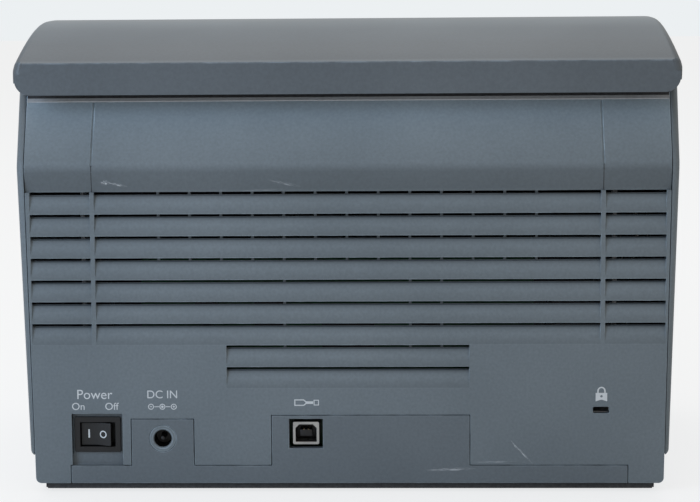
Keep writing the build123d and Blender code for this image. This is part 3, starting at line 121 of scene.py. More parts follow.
def spark_textured_abs(
        name, colour, lighter, darker, rough=0.5, grain_mm=1.3, depth_mm=0.04, scuffs=(),
        painted_light_by_height=((0, 1.0), (machine_height_mm, 1.0)), louvred=False):
    """Moulded ABS with an eroded grain: soft sheen, tone drift, painted light and shade by height, painted
    shade on louvre slats, rubbed scuffs.

    The real grain is about 0.2 mm wide; it is drawn coarser, so that it shows.
    """
    material, tree, out = new_material(name)
    place = put(tree, "ShaderNodeTexCoord", {}, {}).outputs["Object"]
    drift = put(tree, "ShaderNodeTexNoise", {}, {"Vector": place, "Scale": 1000 / 85, "Detail": 3.0})
    tone = put(tree, "ShaderNodeValToRGB", {}, {"Fac": drift.outputs["Fac"]})
    set_stops(tone, ((0.3, linear(darker)), (0.5, linear(colour)), (0.7, linear(lighter))))
    grain = put(tree, "ShaderNodeTexNoise", {}, {"Vector": place, "Scale": 1000 / grain_mm, "Detail": 2.0})
    height = put(tree, "ShaderNodeSeparateXYZ", {}, {0: place})
    # Painted light and shade by height: a ramp of factors brightens or darkens the colour at given heights,
    # in place of the light and shade that fall there.
    level_z = put(tree, "ShaderNodeMath", {"operation": "DIVIDE"}, {
        0: height.outputs["Z"], 1: machine_height_mm / 1000})
    height_light = put(tree, "ShaderNodeValToRGB", {}, {"Fac": level_z.outputs[0]})
    set_stops(height_light, [(z_mm / machine_height_mm, (factor / 4,) * 3 + (1,)) for z_mm, factor in painted_light_by_height])
    fourfold = put(tree, "ShaderNodeVectorMath", {"operation": "SCALE"}, {
        0: height_light.outputs["Color"], "Scale": 4.0})
    shaded = put(tree, "ShaderNodeVectorMath", {"operation": "MULTIPLY"}, {
        0: tone.outputs["Color"], 1: fourfold.outputs[0]})
    pits = put(tree, "ShaderNodeMapRange", {}, {
        "Value": grain.outputs["Fac"], "From Min": 0.3, "From Max": 0.7, "To Min": 0.93, "To Max": 1.07})
    pitted = put(tree, "ShaderNodeVectorMath", {"operation": "SCALE"}, {
        0: shaded.outputs[0], "Scale": pits.outputs[0]})
    skin = pitted.outputs[0]
    # Painted shade on the louvre slats, repeating every 10 mm row: darkest just under each slit, lighter in
    # the middle and at the lower rim.
    if louvred:
        pitch, top_row, bottom_row, short_rows = 0.010, 0.1378, 0.0478, 0.0678
        long_half, short_half, bar_x, bar_half = 0.1432, 0.055, 0.1151, 0.0011
        rows = put(tree, "ShaderNodeMapRange", {"clamp": False}, {
            "Value": height.outputs["Z"], "From Min": 0.0078, "From Max": 0.0078 + pitch})
        phase = put(tree, "ShaderNodeMath", {"operation": "FRACT"}, {0: rows.outputs[0]})
        slat = put(tree, "ShaderNodeValToRGB", {}, {"Fac": phase.outputs[0]})
        slat_painted_shade = (
            (0.0, 0.56), (0.06, 0.43), (0.26, 0.475), (0.5, 0.545), (0.68, 0.5), (0.8, 0.35), (0.88, 0.2))
        set_stops(slat, [(on_row, (factor,) * 3 + (1,)) for on_row, factor in slat_painted_shade])
        doubled = put(tree, "ShaderNodeVectorMath", {"operation": "SCALE"}, {
            0: slat.outputs["Color"], "Scale": 2.0})
        beside = put(tree, "ShaderNodeMath", {"operation": "ABSOLUTE"}, {0: height.outputs["X"]})
        low_rows = put(tree, "ShaderNodeMath", {"operation": "LESS_THAN"}, {
            0: height.outputs["Z"], 1: short_rows})
        half_row = put(tree, "ShaderNodeMapRange", {}, {
            "Value": low_rows.outputs[0], "To Min": long_half, "To Max": short_half})
        within = put(tree, "ShaderNodeMath", {"operation": "LESS_THAN"}, {
            0: beside.outputs[0], 1: half_row.outputs[0]})
        off_bar = put(tree, "ShaderNodeMath", {"operation": "COMPARE"}, {
            0: beside.outputs[0], 1: bar_x, 2: bar_half})
        above = put(tree, "ShaderNodeMath", {"operation": "GREATER_THAN"}, {
            0: height.outputs["Z"], 1: bottom_row})
        below = put(tree, "ShaderNodeMath", {"operation": "LESS_THAN"}, {0: height.outputs["Z"], 1: top_row})
        band = put(tree, "ShaderNodeMath", {"operation": "MULTIPLY"}, {
            0: above.outputs[0], 1: below.outputs[0]})
        field = put(tree, "ShaderNodeMath", {"operation": "MULTIPLY"}, {
            0: band.outputs[0], 1: within.outputs[0]})
        slats = put(tree, "ShaderNodeMath", {"operation": "SUBTRACT", "use_clamp": True}, {
            0: field.outputs[0], 1: off_bar.outputs[0]})
        slat_shaded_skin = put(tree, "ShaderNodeVectorMath", {"operation": "MULTIPLY"}, {
            0: skin, 1: doubled.outputs[0]})
        chosen = put(tree, "ShaderNodeMix", {"data_type": "RGBA"}, {
            0: slats.outputs[0], 6: skin, 7: slat_shaded_skin.outputs[0]})
        skin = chosen.outputs[2]
    for x, z, length, thick, turn, strength in scuffs:
        shift = put(tree, "ShaderNodeMapping", {"vector_type": "TEXTURE"}, {
            "Vector": place, "Location": (x / 1000, 0.1, z / 1000), "Rotation": (0, radians(turn), 0),
            "Scale": (length / 2000, 1.0, thick / 2000)})
        reach = put(tree, "ShaderNodeVectorMath", {"operation": "LENGTH"}, {0: shift.outputs[0]})
        inside = put(tree, "ShaderNodeMapRange", {}, {
            "Value": reach.outputs["Value"], "From Min": 1.0, "From Max": 0.3, "To Max": strength})
        fibres = put(tree, "ShaderNodeTexNoise", {}, {
            "Vector": shift.outputs[0], "Scale": 2.6, "Detail": 6.0})
        torn = put(tree, "ShaderNodeMapRange", {}, {
            "Value": fibres.outputs["Fac"], "From Min": 0.46, "From Max": 0.6})
        rubbed = put(tree, "ShaderNodeMath", {"operation": "MULTIPLY"}, {
            0: inside.outputs[0], 1: torn.outputs[0]})
        mixed = put(tree, "ShaderNodeMix", {"data_type": "RGBA"}, {
            0: rubbed.outputs[0], 6: skin, 7: linear("#c3c9ce")})
        skin = mixed.outputs[2]
    handled = put(tree, "ShaderNodeVectorMath", {"operation": "SCALE"}, {
        0: skin, "Scale": edge_gain(tree, place, 0.8)})
    sheen = put(tree, "ShaderNodeMapRange", {}, {
        "Value": grain.outputs["Fac"], "To Min": rough - 0.05, "To Max": rough + 0.07})
    relief = put(tree, "ShaderNodeBump", {}, {
        "Height": grain.outputs["Fac"], "Strength": 0.5, "Distance": depth_mm / 1000})
    shader = put(tree, "ShaderNodeBsdfPrincipled", {}, {
        "Base Color": handled.outputs[0], "Roughness": sheen.outputs[0], "IOR": 1.5,
        "Normal": relief.outputs["Normal"]})
    tree.links.new(shader.outputs[0], out.inputs["Surface"])
    return material


def paint(obj, material):
    """Give a piece or a CAD node its finish."""
    obj.data.materials.clear()
    obj.data.materials.append(material)


def baked(piece):
    """Turn a piece's modifiers into plain mesh."""
    piece.data = bpy.data.meshes.new_from_object(piece.evaluated_get(bpy.context.evaluated_depsgraph_get()))
    piece.modifiers.clear()


def moulded(node, radius_mm, material, name, sharp=28, steps=2, least_mm=0.0, cutter=None):
    """Welded copy of a CAD node with its sharp edges rounded as a tool leaves them; it replaces the node."""
    source = nodes[node]
    mesh = source.data.copy()
    shape = bmesh.new()
    shape.from_mesh(mesh)
    rubbed = shape.faces.layers.float.new("rubbed_edge")
    bmesh.ops.remove_doubles(shape, verts=shape.verts, dist=2e-6)
    bmesh.ops.dissolve_limit(shape, angle_limit=radians(0.5), verts=shape.verts, edges=shape.edges)
    corners = [
        e for e in shape.edges if len(e.link_faces) == 2 and e.calc_face_angle(0) > radians(sharp)
        and e.calc_length() > least_mm / 1000]
    if radius_mm:
        rounded = bmesh.ops.bevel(
            shape, geom=corners, offset=radius_mm / 1000, offset_type="OFFSET", segments=steps,
            profile=0.5, affect="EDGES", clamp_overlap=False, loop_slide=False, miter_outer="SHARP")
        for facet in rounded["faces"]:
            facet[rubbed] = 1.0
    shape.to_mesh(mesh)
    shape.free()
    piece = bpy.data.objects.new(name, mesh)
    bpy.context.scene.collection.objects.link(piece)
    if cutter:
        opened = piece.modifiers.new("opened", "BOOLEAN")
        opened.object = cutter
        opened.solver = "EXACT"
        baked(piece)
        bpy.data.objects.remove(cutter)
    piece.data.shade_smooth()
    piece.data.set_sharp_from_angle(angle=radians(40))
    even = piece.modifiers.new("even", "WEIGHTED_NORMAL")
    even.keep_sharp = True
    baked(piece)
    paint(piece, material)
    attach(piece, source["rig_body"])
    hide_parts(node)
    return piece


charcoal_abs = spark_textured_abs("charcoal_moulded_abs", "#5d676e", "#616b72", "#59636a", rough=0.5, scuffs=(
    (-46.3, 10.4, 24.0, 1.6, 2, 0.75),))
moulded("base_chassis", 0.3, charcoal_abs, "base_tray")


# Rubber feet
# Four pads moulded in black rubber and pressed into holes in the base. They are
# matt, and the corners are a little dusty.
def soft_rubber(name, colour, rough, grain_mm):
    """Moulded rubber: dark, matt and lightly mottled with dust."""
    material, tree, out = new_material(name)
    place = put(tree, "ShaderNodeTexCoord", {}, {}).outputs["Object"]
    dust = put(tree, "ShaderNodeTexNoise", {}, {"Vector": place, "Scale": 1000 / grain_mm, "Detail": 5.0})
    tone = put(tree, "ShaderNodeMix", {"data_type": "RGBA"}, {
        0: dust.outputs["Fac"], 6: linear(colour), 7: linear("#4a4b4d")})
    handled = put(tree, "ShaderNodeVectorMath", {"operation": "SCALE"}, {
        0: tone.outputs[2], "Scale": edge_gain(tree, place, 0.6)})
    relief = put(tree, "ShaderNodeBump", {}, {
        "Height": dust.outputs["Fac"], "Strength": 0.4, "Distance": 0.0001})
    shader = put(tree, "ShaderNodeBsdfPrincipled", {}, {
        "Base Color": handled.outputs[0], "Roughness": rough, "IOR": 1.52,
        "Normal": relief.outputs["Normal"]})
    tree.links.new(shader.outputs[0], out.inputs["Surface"])
    return material


black_rubber = soft_rubber("black_moulded_rubber", "#17181a", 0.82, 1.6)
moulded("rubber_feet", 0.5, black_rubber, "foot_pads")


# Steel side frames, cross stays, bushes and screws
# Two side plates pressed from zinc-plated sheet, held apart by ground steel tubes and
# screwed to them. White acetal bushes are snapped in for the shafts.
def bare_steel(name, colour, rough, along=(1, 1, 1), line_mm=0.5):
    """Plated or ground steel: bright, with fine lines along one direction."""
    material, tree, out = new_material(name)
    place = put(tree, "ShaderNodeTexCoord", {}, {}).outputs["Object"]
    stretch = put(tree, "ShaderNodeMapping", {}, {"Vector": place, "Scale": along})
    lines = put(tree, "ShaderNodeTexNoise", {}, {
        "Vector": stretch.outputs[0], "Scale": 1000 / line_mm, "Detail": 3.0})
    cloud = put(tree, "ShaderNodeTexNoise", {}, {"Vector": place, "Scale": 1000 / 14, "Detail": 3.0})
    tone = put(tree, "ShaderNodeMix", {"data_type": "RGBA"}, {
        0: cloud.outputs["Fac"], 6: linear(colour), 7: linear("#8f9397")})
    handled = put(tree, "ShaderNodeVectorMath", {"operation": "SCALE"}, {
        0: tone.outputs[2], "Scale": edge_gain(tree, place, 0.35)})
    worn = put(tree, "ShaderNodeMapRange", {}, {
        "Value": lines.outputs["Fac"], "To Min": rough - 0.08, "To Max": rough + 0.1})
    relief = put(tree, "ShaderNodeBump", {}, {
        "Height": lines.outputs["Fac"], "Strength": 0.25, "Distance": 0.00003})
    shader = put(tree, "ShaderNodeBsdfPrincipled", {}, {
        "Base Color": handled.outputs[0], "Metallic": 1.0, "Roughness": worn.outputs[0],
        "Normal": relief.outputs["Normal"]})
    tree.links.new(shader.outputs[0], out.inputs["Surface"])
    return material


def dense_plastic(name, colour, rough, grain_mm=6.0):
    """Smooth engineering plastic, such as acetal or nylon: even colour with a waxy sheen."""
    material, tree, out = new_material(name)
    place = put(tree, "ShaderNodeTexCoord", {}, {}).outputs["Object"]
    cloud = put(tree, "ShaderNodeTexNoise", {}, {"Vector": place, "Scale": 1000 / grain_mm, "Detail": 3.0})
    shade = put(tree, "ShaderNodeMapRange", {}, {
        "Value": cloud.outputs["Fac"], "To Min": 0.9, "To Max": 1.06})
    tone = put(tree, "ShaderNodeVectorMath", {"operation": "SCALE"}, {
        0: linear(colour)[:3], "Scale": shade.outputs[0]})
    handled = put(tree, "ShaderNodeVectorMath", {"operation": "SCALE"}, {
        0: tone.outputs[0], "Scale": edge_gain(tree, place, 0.5)})
    gloss = put(tree, "ShaderNodeMapRange", {}, {
        "Value": cloud.outputs["Fac"], "To Min": rough - 0.04, "To Max": rough + 0.06})
    ripple = put(tree, "ShaderNodeBump", {}, {
        "Height": cloud.outputs["Fac"], "Strength": 0.3, "Distance": 0.00008})
    shader = put(tree, "ShaderNodeBsdfPrincipled", {}, {
        "Base Color": handled.outputs[0], "Roughness": gloss.outputs[0], "IOR": 1.48,
        "Normal": ripple.outputs["Normal"]})
    tree.links.new(shader.outputs[0], out.inputs["Surface"])
    return material


zinc_sheet = bare_steel("zinc_plated_sheet", "#b9bcbf", 0.42, (1, 1, 0.2), 2.2)
ground_steel = bare_steel("ground_steel_rod", "#cfd1d3", 0.25, (8, 1, 1), 0.6)
white_acetal = dense_plastic("white_acetal", "#dedad0", 0.35)
for frame_side in ("left", "right"):
    moulded("side_frame_" + frame_side, 0.15, zinc_sheet, "frame_plate_" + frame_side)
for steel_node in ("cross_stays", "frame_screws", "latch_strikes", "front_hinge_pins"):
    paint(nodes[steel_node], ground_steel)
paint(nodes["shaft_bushes"], white_acetal)


# Paper guides
# Two ramps that lead the paper, moulded in black ABS, with windows for rollers and
# sensors. They are screwed to the frame and to the front shell, and satin from use.
black_abs = spark_textured_abs("black_satin_abs", "#26282b", "#2a2c2f", "#222427", rough=0.42, grain_mm=1.4)
moulded("rear_paper_guide", 0.25, black_abs, "rear_ramp")
moulded("front_paper_guide", 0.25, black_abs, "front_ramp")


# Image sensors
# A contact sensor on each side of the paper: a moulded dark housing clipped into the
# ramp, with a strip of clear float glass bonded on top.
def float_glass(name):
    """Clear flat glass, very slightly green, over the sensor's lamp line."""
    material, tree, out = new_material(name)
    place = put(tree, "ShaderNodeTexCoord", {}, {}).outputs["Object"]
    film = put(tree, "ShaderNodeTexNoise", {}, {"Vector": place, "Scale": 1000 / 22, "Detail": 4.0})
    haze = put(tree, "ShaderNodeMapRange", {}, {"Value": film.outputs["Fac"], "To Min": 0.02, "To Max": 0.1})
    shader = put(tree, "ShaderNodeBsdfPrincipled", {}, {
        "Base Color": linear("#dfeeea"), "Roughness": haze.outputs[0], "IOR": 1.52,
        "Transmission Weight": 0.9})
    tree.links.new(shader.outputs[0], out.inputs["Surface"])
    return material


clear_glass = float_glass("clear_float_glass")
for scan_side in ("rear", "front"):
    moulded(scan_side + "_image_sensor", 0.3, black_abs, scan_side + "_sensor_bar")
    paint(nodes[scan_side + "_sensor_glass"], clear_glass)


# Driven rollers, pulleys, belts and motor
# Ground steel shafts with vulcanised tyres, ribbed for grip, and pressed-on acetal
# pulleys with rubber belts. The motor can is drawn steel, screwed to a side plate.
def block(shape, size_mm, centre_mm, round_mm):
    """Add a small rounded block to a bmesh."""
    fresh = bmesh.ops.create_cube(shape, size=0.001, matrix=Matrix.Translation(
        Vector(centre_mm) / 1000) @ Matrix.Diagonal((*size_mm, 1)))
    edges = list({e for v in fresh["verts"] for e in v.link_edges})
    bmesh.ops.bevel(shape, geom=edges, offset=round_mm / 1000, segments=2, affect="EDGES", profile=0.5)


def settled(name, shape, material, body):
    """Turn a bmesh into a finished piece that rides on a body."""
    mesh = bpy.data.meshes.new(name)
    shape.to_mesh(mesh)
    shape.free()
    mesh.shade_smooth()
    mesh.set_sharp_from_angle(angle=radians(35))
    piece = bpy.data.objects.new(name, mesh)
    bpy.context.scene.collection.objects.link(piece)
    paint(piece, material)
    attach(piece, body)
    return piece


layout = bpy.data.node_groups.new("row_or_ring", "GeometryNodeTree")
for label, kind in (
        ("Unit", "NodeSocketGeometry"), ("Count", "NodeSocketInt"), ("Step", "NodeSocketVector"),
        ("Turn", "NodeSocketFloat"), ("Axis", "NodeSocketVector"), ("Scatter", "NodeSocketVector"),
        ("Seed", "NodeSocketInt"), ("Finish", "NodeSocketMaterial")):
    layout.interface.new_socket(name=label, in_out="INPUT", socket_type=kind)
layout.interface.new_socket(name="Copies", in_out="OUTPUT", socket_type="NodeSocketGeometry")
given = layout.nodes.new("NodeGroupInput").outputs
line = put(layout, "GeometryNodeMeshLine", {"mode": "OFFSET"}, {
    "Count": given["Count"], "Offset": given["Step"]})
backward = put(layout, "ShaderNodeVectorMath", {"operation": "SCALE"}, {0: given["Scatter"], "Scale": -1.0})
wander = put(layout, "FunctionNodeRandomValue", {"data_type": "FLOAT_VECTOR"}, {
    0: backward.outputs[0], 1: given["Scatter"], "Seed": given["Seed"]})
spread = put(layout, "GeometryNodeSetPosition", {}, {
    "Geometry": line.outputs[0], "Offset": wander.outputs[0]})
order = put(layout, "GeometryNodeInputIndex", {}, {})
angle = put(layout, "ShaderNodeMath", {"operation": "MULTIPLY"}, {0: order.outputs[0], 1: given["Turn"]})
about_x = put(layout, "ShaderNodeCombineXYZ", {}, {"X": angle.outputs[0]})
copies = put(layout, "GeometryNodeInstanceOnPoints", {}, {
    "Points": spread.outputs[0], "Instance": given["Unit"], "Rotation": about_x.outputs[0]})
solid = put(layout, "GeometryNodeRealizeInstances", {}, {"Geometry": copies.outputs[0]})
moved = put(layout, "GeometryNodeTransform", {}, {"Geometry": solid.outputs[0], "Translation": given["Axis"]})
dressed = put(layout, "GeometryNodeSetMaterial", {}, {
    "Geometry": moved.outputs[0], "Material": given["Finish"]})
layout.links.new(dressed.outputs[0], layout.nodes.new("NodeGroupOutput").inputs[0])


def copied(piece, body, slot, **values):
    """Lay out copies of a piece's mesh in a row or a ring and bake them to one mesh on a body."""
    spread_out = piece.modifiers.new("copies", "NODES")
    spread_out.node_group = layout
    values.setdefault("Finish", piece.data.materials[0])
    for item in layout.interface.items_tree:
        if item.in_out == "INPUT" and item.name in values:
            spread_out[item.identifier] = values[item.name]
    baked(piece)
    paint(piece, values["Finish"])
    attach(piece, body)
    return piece


def loose(name, shape, material):
    """Piece made of a bmesh, not yet placed on a body."""
    mesh = bpy.data.meshes.new(name)
    shape.to_mesh(mesh)
    shape.free()
    piece = bpy.data.objects.new(name, mesh)
    bpy.context.scene.collection.objects.link(piece)
    paint(piece, material)
    return piece


tyre_rubber = soft_rubber("grey_tyre_rubber", "#2b2c2e", 0.68, 2.4)
for roller in ("pick", "drive", "eject"):
    paint(nodes[roller + "_shaft"], ground_steel)
    moulded(roller + "_tyres", 0.3, tyre_rubber, roller + "_rubber_tyres")
    moulded(roller + "_pulley", 0.1, white_acetal, roller + "_belt_pulley")
moulded("motor_pulley", 0.1, white_acetal, "motor_belt_pulley")
for roller, axis_y, axis_z, tyre_radius, tyre_places, tyre_width in (
        ("pick", 34.26, 111.62, 11.0, (-14, 14), 19.0),
        ("drive", 17.31, 97.28, 8.0, (-70, -25, 25, 70), 15.0),
        ("eject", -14.81, 61.61, 8.0, (-70, -25, 25, 70), 15.0)):
    rib = bmesh.new()
    for tyre_x in tyre_places:
        block(rib, (tyre_width, 0.55, 0.5), (tyre_x, 0, tyre_radius - 0.05), 0.12)
    copied(
        loose(roller + "_tyre_ribs", rib, tyre_rubber), roller + "_roller", "rubber_black",
        Count=44, Turn=radians(360 / 44), Axis=(0, axis_y / 1000, axis_z / 1000))
idler_rubber = soft_rubber("idler_rubber", "#5c5e60", 0.6, 2.4)
for idler in ("brake_roller", "pinch_rollers_upper", "pinch_rollers_lower"):
    moulded(idler, 0.25, idler_rubber, idler + "_body")
paint(nodes["drive_belts"], black_rubber)
moulded("drive_motor", 0.3, zinc_sheet, "motor_can")


# Circuit boards
# Glass-epoxy boards under dark green solder mask, screwed upright behind the rear wall
# and behind the keys. Black chips and small parts are soldered on.
def solder_mask(name):
    """Green lacquer over copper: semi-gloss, with paler tracks showing through."""
    material, tree, out = new_material(name)
    place = put(tree, "ShaderNodeTexCoord", {}, {}).outputs["Object"]
    tracks = put(tree, "ShaderNodeTexBrick", {"offset": 0.5, "squash": 1.0}, {
        "Vector": place, "Color1": linear("#0f3320"), "Color2": linear("#0d2e1c"),
        "Mortar": linear("#1b5132"),
        "Scale": 90.0, "Mortar Size": 0.035, "Brick Width": 0.9, "Row Height": 0.32})
    flow = put(tree, "ShaderNodeTexNoise", {}, {"Vector": place, "Scale": 1000 / 12, "Detail": 3.0})
    gloss = put(tree, "ShaderNodeMapRange", {}, {
        "Value": flow.outputs["Fac"], "To Min": 0.26, "To Max": 0.42})
    raised = put(tree, "ShaderNodeBump", {}, {
        "Height": tracks.outputs["Fac"], "Strength": 0.4, "Distance": 0.00004})
    shader = put(tree, "ShaderNodeBsdfPrincipled", {}, {
        "Base Color": tracks.outputs["Color"], "Roughness": gloss.outputs[0], "IOR": 1.5,
        "Normal": raised.outputs["Normal"]})
    tree.links.new(shader.outputs[0], out.inputs["Surface"])
    return material


green_board = solder_mask("green_solder_mask")
black_nylon = dense_plastic("black_nylon", "#101113", 0.42)
for board in ("main_board", "button_board"):
    paint(nodes[board], green_board)
moulded("board_chips", 0.2, black_nylon, "chip_packages")
ceramic = dense_plastic("fired_ceramic", "#a98b62", 0.45)
tinned = bare_steel("tinned_contacts", "#c9cbcc", 0.3)
for row_name, size_mm, start_mm, finish, count, step_mm, wander_mm, row_seed in (
        ("capacitors", (1.6, 0.9, 0.9), (-72, 82.05, 98), ceramic, 18, (8.4, 0, 0), (1.2, 0, 2.5), 3),
        ("resistors", (2.0, 0.5, 1.2), (-70, 81.85, 44), black_nylon, 16, (9.6, 0, 0), (1.5, 0, 4.0), 5),
        ("decoupling_parts", (1.0, 0.5, 0.5), (-14, 81.85, 86), ceramic, 12, (3.1, 0, 0), (0.4, 0, 0.8), 7),
        ("header_pins", (0.64, 6.0, 0.64), (-62, 84.4, 20), tinned, 14, (2.54, 0, 0), (0, 0, 0), 1),
        ("chip_legs_low", (0.5, 0.3, 1.6), (-11, 81.8, 57.2), tinned, 20, (1.16, 0, 0), (0, 0, 0), 1),
        ("chip_legs_high", (0.5, 0.3, 1.6), (-11, 81.8, 82.8), tinned, 20, (1.16, 0, 0), (0, 0, 0), 1)):
    small_part = bmesh.new()
    block(small_part, size_mm, (0, 0, 0), 0.08)
    copied(
        loose("board_" + row_name, small_part, finish), "chassis", "black_plastic", Count=count,
        Step=[c / 1000 for c in step_mm], Scatter=[c / 1000 for c in wander_mm], Seed=row_seed,
        Axis=[c / 1000 for c in start_mm])


# Data socket
# Nickel-plated steel shell folded round a moulded black tongue that carries
# gold-plated contacts. It is soldered to the main board.
nickel_shell = bare_steel("nickel_plated_shell", "#c6c4be", 0.3, (1, 1, 1), 1.5)
moulded("usb_socket", 0.15, nickel_shell, "data_socket_shell")
low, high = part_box("usb_socket")
socket_x = (low[0] + high[0]) / 2
socket_z = (low[2] + high[2]) / 2
tongue = bmesh.new()
block(tongue, (5.4, 8.2, 3.0), (socket_x * 1000, 93.7, socket_z * 1000), 0.2)
block(tongue, (9.4, 0.6, 7.8), (socket_x * 1000, 89.9, socket_z * 1000), 0.1)
settled("data_socket_tongue", tongue, black_nylon, "chassis")
gold = bare_steel("gold_plating", "#d9b25c", 0.25)
contact = bmesh.new()
block(contact, (0.7, 7.0, 0.2), (0, 0, 0), 0.05)
copied(
    loose("data_contacts", contact, gold), "chassis", "bright_steel", Count=2, Step=(0.0021, 0, 0),
    Axis=(socket_x - 0.00105, 0.0940, socket_z + 0.00155))


# Power socket
# Moulded black housing with a round sleeve and a tinned centre pin, soldered to the main
# board. The collar that shows outside is in the slate of the cover.
power_socket = moulded("dc_jack", 0.5, black_nylon, "power_socket", steps=3)
pin = bmesh.new()
jack_low, jack_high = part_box("dc_jack")
socket_axis = Vector(((jack_low[0] + jack_high[0]) / 2, 0, (jack_low[2] + jack_high[2]) / 2))
slate_abs = spark_textured_abs("slate_moulded_abs", "#667178", "#6a757c", "#626d74", rough=0.5)
power_socket.data.materials.append(slate_abs)
for facet in power_socket.data.polygons:
    rim = [(power_socket.data.vertices[v].co - socket_axis) * Vector((1, 0, 1)) for v in facet.vertices]
    if facet.center.y > 0.0975 and min(r.length for r in rim) > 0.00385:
        facet.material_index = 1
pin_at = Matrix.Translation(socket_axis + Vector((0, 0.092, 0)))
bmesh.ops.create_cone(
    pin, cap_ends=True, segments=24, radius1=0.001, radius2=0.001, depth=0.012,
    matrix=pin_at @ Matrix.Rotation(radians(90), 4, "X"))
bmesh.ops.bevel(
    pin, geom=[e for e in pin.edges if e.calc_face_angle(0) > 1], offset=0.0003, segments=3,
    affect="EDGES")
settled("power_socket_pin", pin, tinned, "chassis")


# Lock slot plate
# Small plate stamped from zinc-plated steel, screwed behind the slot in the rear
# cover, so that a cable lock has something to hold.
moulded("lock_bracket", 0.15, zinc_sheet, "lock_plate")


# Power switch
# Rocker switch moulded in black nylon and snapped into its recess: a matt bezel with
# a smoother rocker.
rocker_gloss = dense_plastic("glossy_black_nylon", "#0a0b0c", 0.45)
moulded("power_switch", 0.3, black_nylon, "switch_bezel")
moulded("switch_rocker", 0.35, rocker_gloss, "rocker_cap")


# Cheeks and side covers
# Inner walls moulded in black ABS beside the paper path, and outer covers moulded in
# slate ABS, hooked over the base rim and clipped to the frames.
for cover_side in ("left", "right"):
    moulded("cheek_" + cover_side, 0.4, black_abs, "inner_wall_" + cover_side)
    moulded("side_cover_" + cover_side, 0, slate_abs, "outer_cover_" + cover_side)


# Rear cover
# One wall moulded in slate ABS, with a sloped top and rows of louvres, hooked into the
# base. Pale rubs show where it has been slid against other things.
# Its height ramp paints light and shade: painted shade on the band between the top louvres and the bend,
# painted light growing up the slope in place of the shadow under the lid, and a painted highlight at the top
# lip. The pale scuffs are real wear.
worn_and_shaded_slate_abs = spark_textured_abs(
    "worn_and_shaded_slate_abs", "#667178", "#6b767d", "#616c73", rough=0.5, louvred=True,
    painted_light_by_height=(
        (0, 0.95), (60, 1.0), (136, 1.0), (139, 0.66), (147, 0.72), (151, 1.17), (165, 1.55),
        (176, 1.98), (177.4, 2.05), (177.8, 3.1)),
    scuffs=(
        (103.5, 141.3, 10.0, 1.4, -12, 0.8), (108.9, 142.2, 4.6, 2.6, 0, 0.8),
        (28.0, 141.5, 16.0, 1.6, -12, 0.35), (38.0, 138.5, 24.0, 1.2, 2, 0.2),
        (-79.0, 18.0, 14.0, 1.0, -47, 0.95), (-75.4, 21.6, 6.0, 0.8, -55, 0.7),
        (-66.5, 13.9, 21.0, 0.8, 1, 0.6)))
slots = bmesh.new()
for row_z, fields in (
        [(137.8 - 10 * k, ((0, 228), (129.6, 27.2), (-129.6, 27.2))) for k in range(7)]
        + [(67.8, ((0, 110),)), (57.8, ((0, 110),))]):
    for field_x, field_wide in fields:
        slot_at = Matrix.Translation((field_x / 1000, 0.099, (row_z - 1.45) / 1000))
        bmesh.ops.create_cube(
            slots, size=0.001, matrix=slot_at @ Matrix.Diagonal((field_wide - 0.6, 2.6, 0.9, 1)))
slot_cutter = loose("slot_cutter", slots, worn_and_shaded_slate_abs)
moulded("rear_cover", 0.2, worn_and_shaded_slate_abs, "louvred_cover", cutter=slot_cutter)
# The pale colour of the lip along the cover's top edge is a painted highlight, where that edge catches the
# light.
lip_painted_highlight_abs = spark_textured_abs("lip_abs_painted_highlight", "#a2a5a7", "#aaadaf", "#9a9d9f", rough=0.42)
# The black strip along the cover's top edge is a painted shadow: a dark piece in the gap under the lid's
# edge, where there is only shade.
for strip_name, strip_finish, strip_slot, profile in (
        ("painted_shadow_strip", black_rubber, "rubber_black", (
            (79.3, 180.7), (80.8, 180.7), (81.85, 179.05), (81.6, 178.9), (79.3, 180.3))),
        ("cover_lip", lip_painted_highlight_abs, "housing_plastic", (
            (80.9, 178.95), (82.0, 179.05), (82.95, 177.75), (82.75, 177.2), (81.6, 177.0)))):
    strip = bmesh.new()
    for strip_x in (-0.1458, 0.1458):
        for y_mm, z_mm in profile:
            strip.verts.new((strip_x, y_mm / 1000, z_mm / 1000))
    corner = list(strip.verts)
    strip.faces.new(corner[:5])
    strip.faces.new(corner[9:4:-1])
    for k in range(5):
        strip.faces.new((corner[k], corner[5 + k], corner[5 + (k + 1) % 5], corner[(k + 1) % 5]))
    bmesh.ops.recalc_face_normals(strip, faces=strip.faces)
    settled(strip_name, strip, strip_finish, "chassis")


# Front unit
# Front half of the paper path, which swings open: a moulded slate ABS shell with a
# black panel snapped in, keys in grey and blue ABS, lamps and a release hook.
moulded("front_cover", 0.2, slate_abs, "front_shell")
moulded("control_panel", 0.3, black_abs, "operator_panel")
moulded("release_lever", 0.3, black_nylon, "release_hook")
button_grey = dense_plastic("light_grey_abs", "#8c9296", 0.4)
button_blue = dense_plastic("blue_abs", "#2c6ca3", 0.35)
moulded("start_button", 0.4, button_blue, "start_cap")
for grey_key in ("stop", "mode"):
    moulded(grey_key + "_button", 0.4, button_grey, grey_key + "_cap")
lamp_lens = dense_plastic("milky_lamp_lens", "#9fc6ad", 0.3)
moulded("status_lamps", 0.2, lamp_lens, "lamp_lenses")


# Output tray
# Flat sleeve, slide and stop flap, all moulded in charcoal ABS. They run in rails on
# the base, and the flap turns on moulded pins.
for tray_node, tray_name in (
        ("output_tray", "tray_sleeve"), ("output_extension", "tray_slide"), ("paper_stop", "stop_flap")):
    moulded(tray_node, 0.35, charcoal_abs, tray_name)


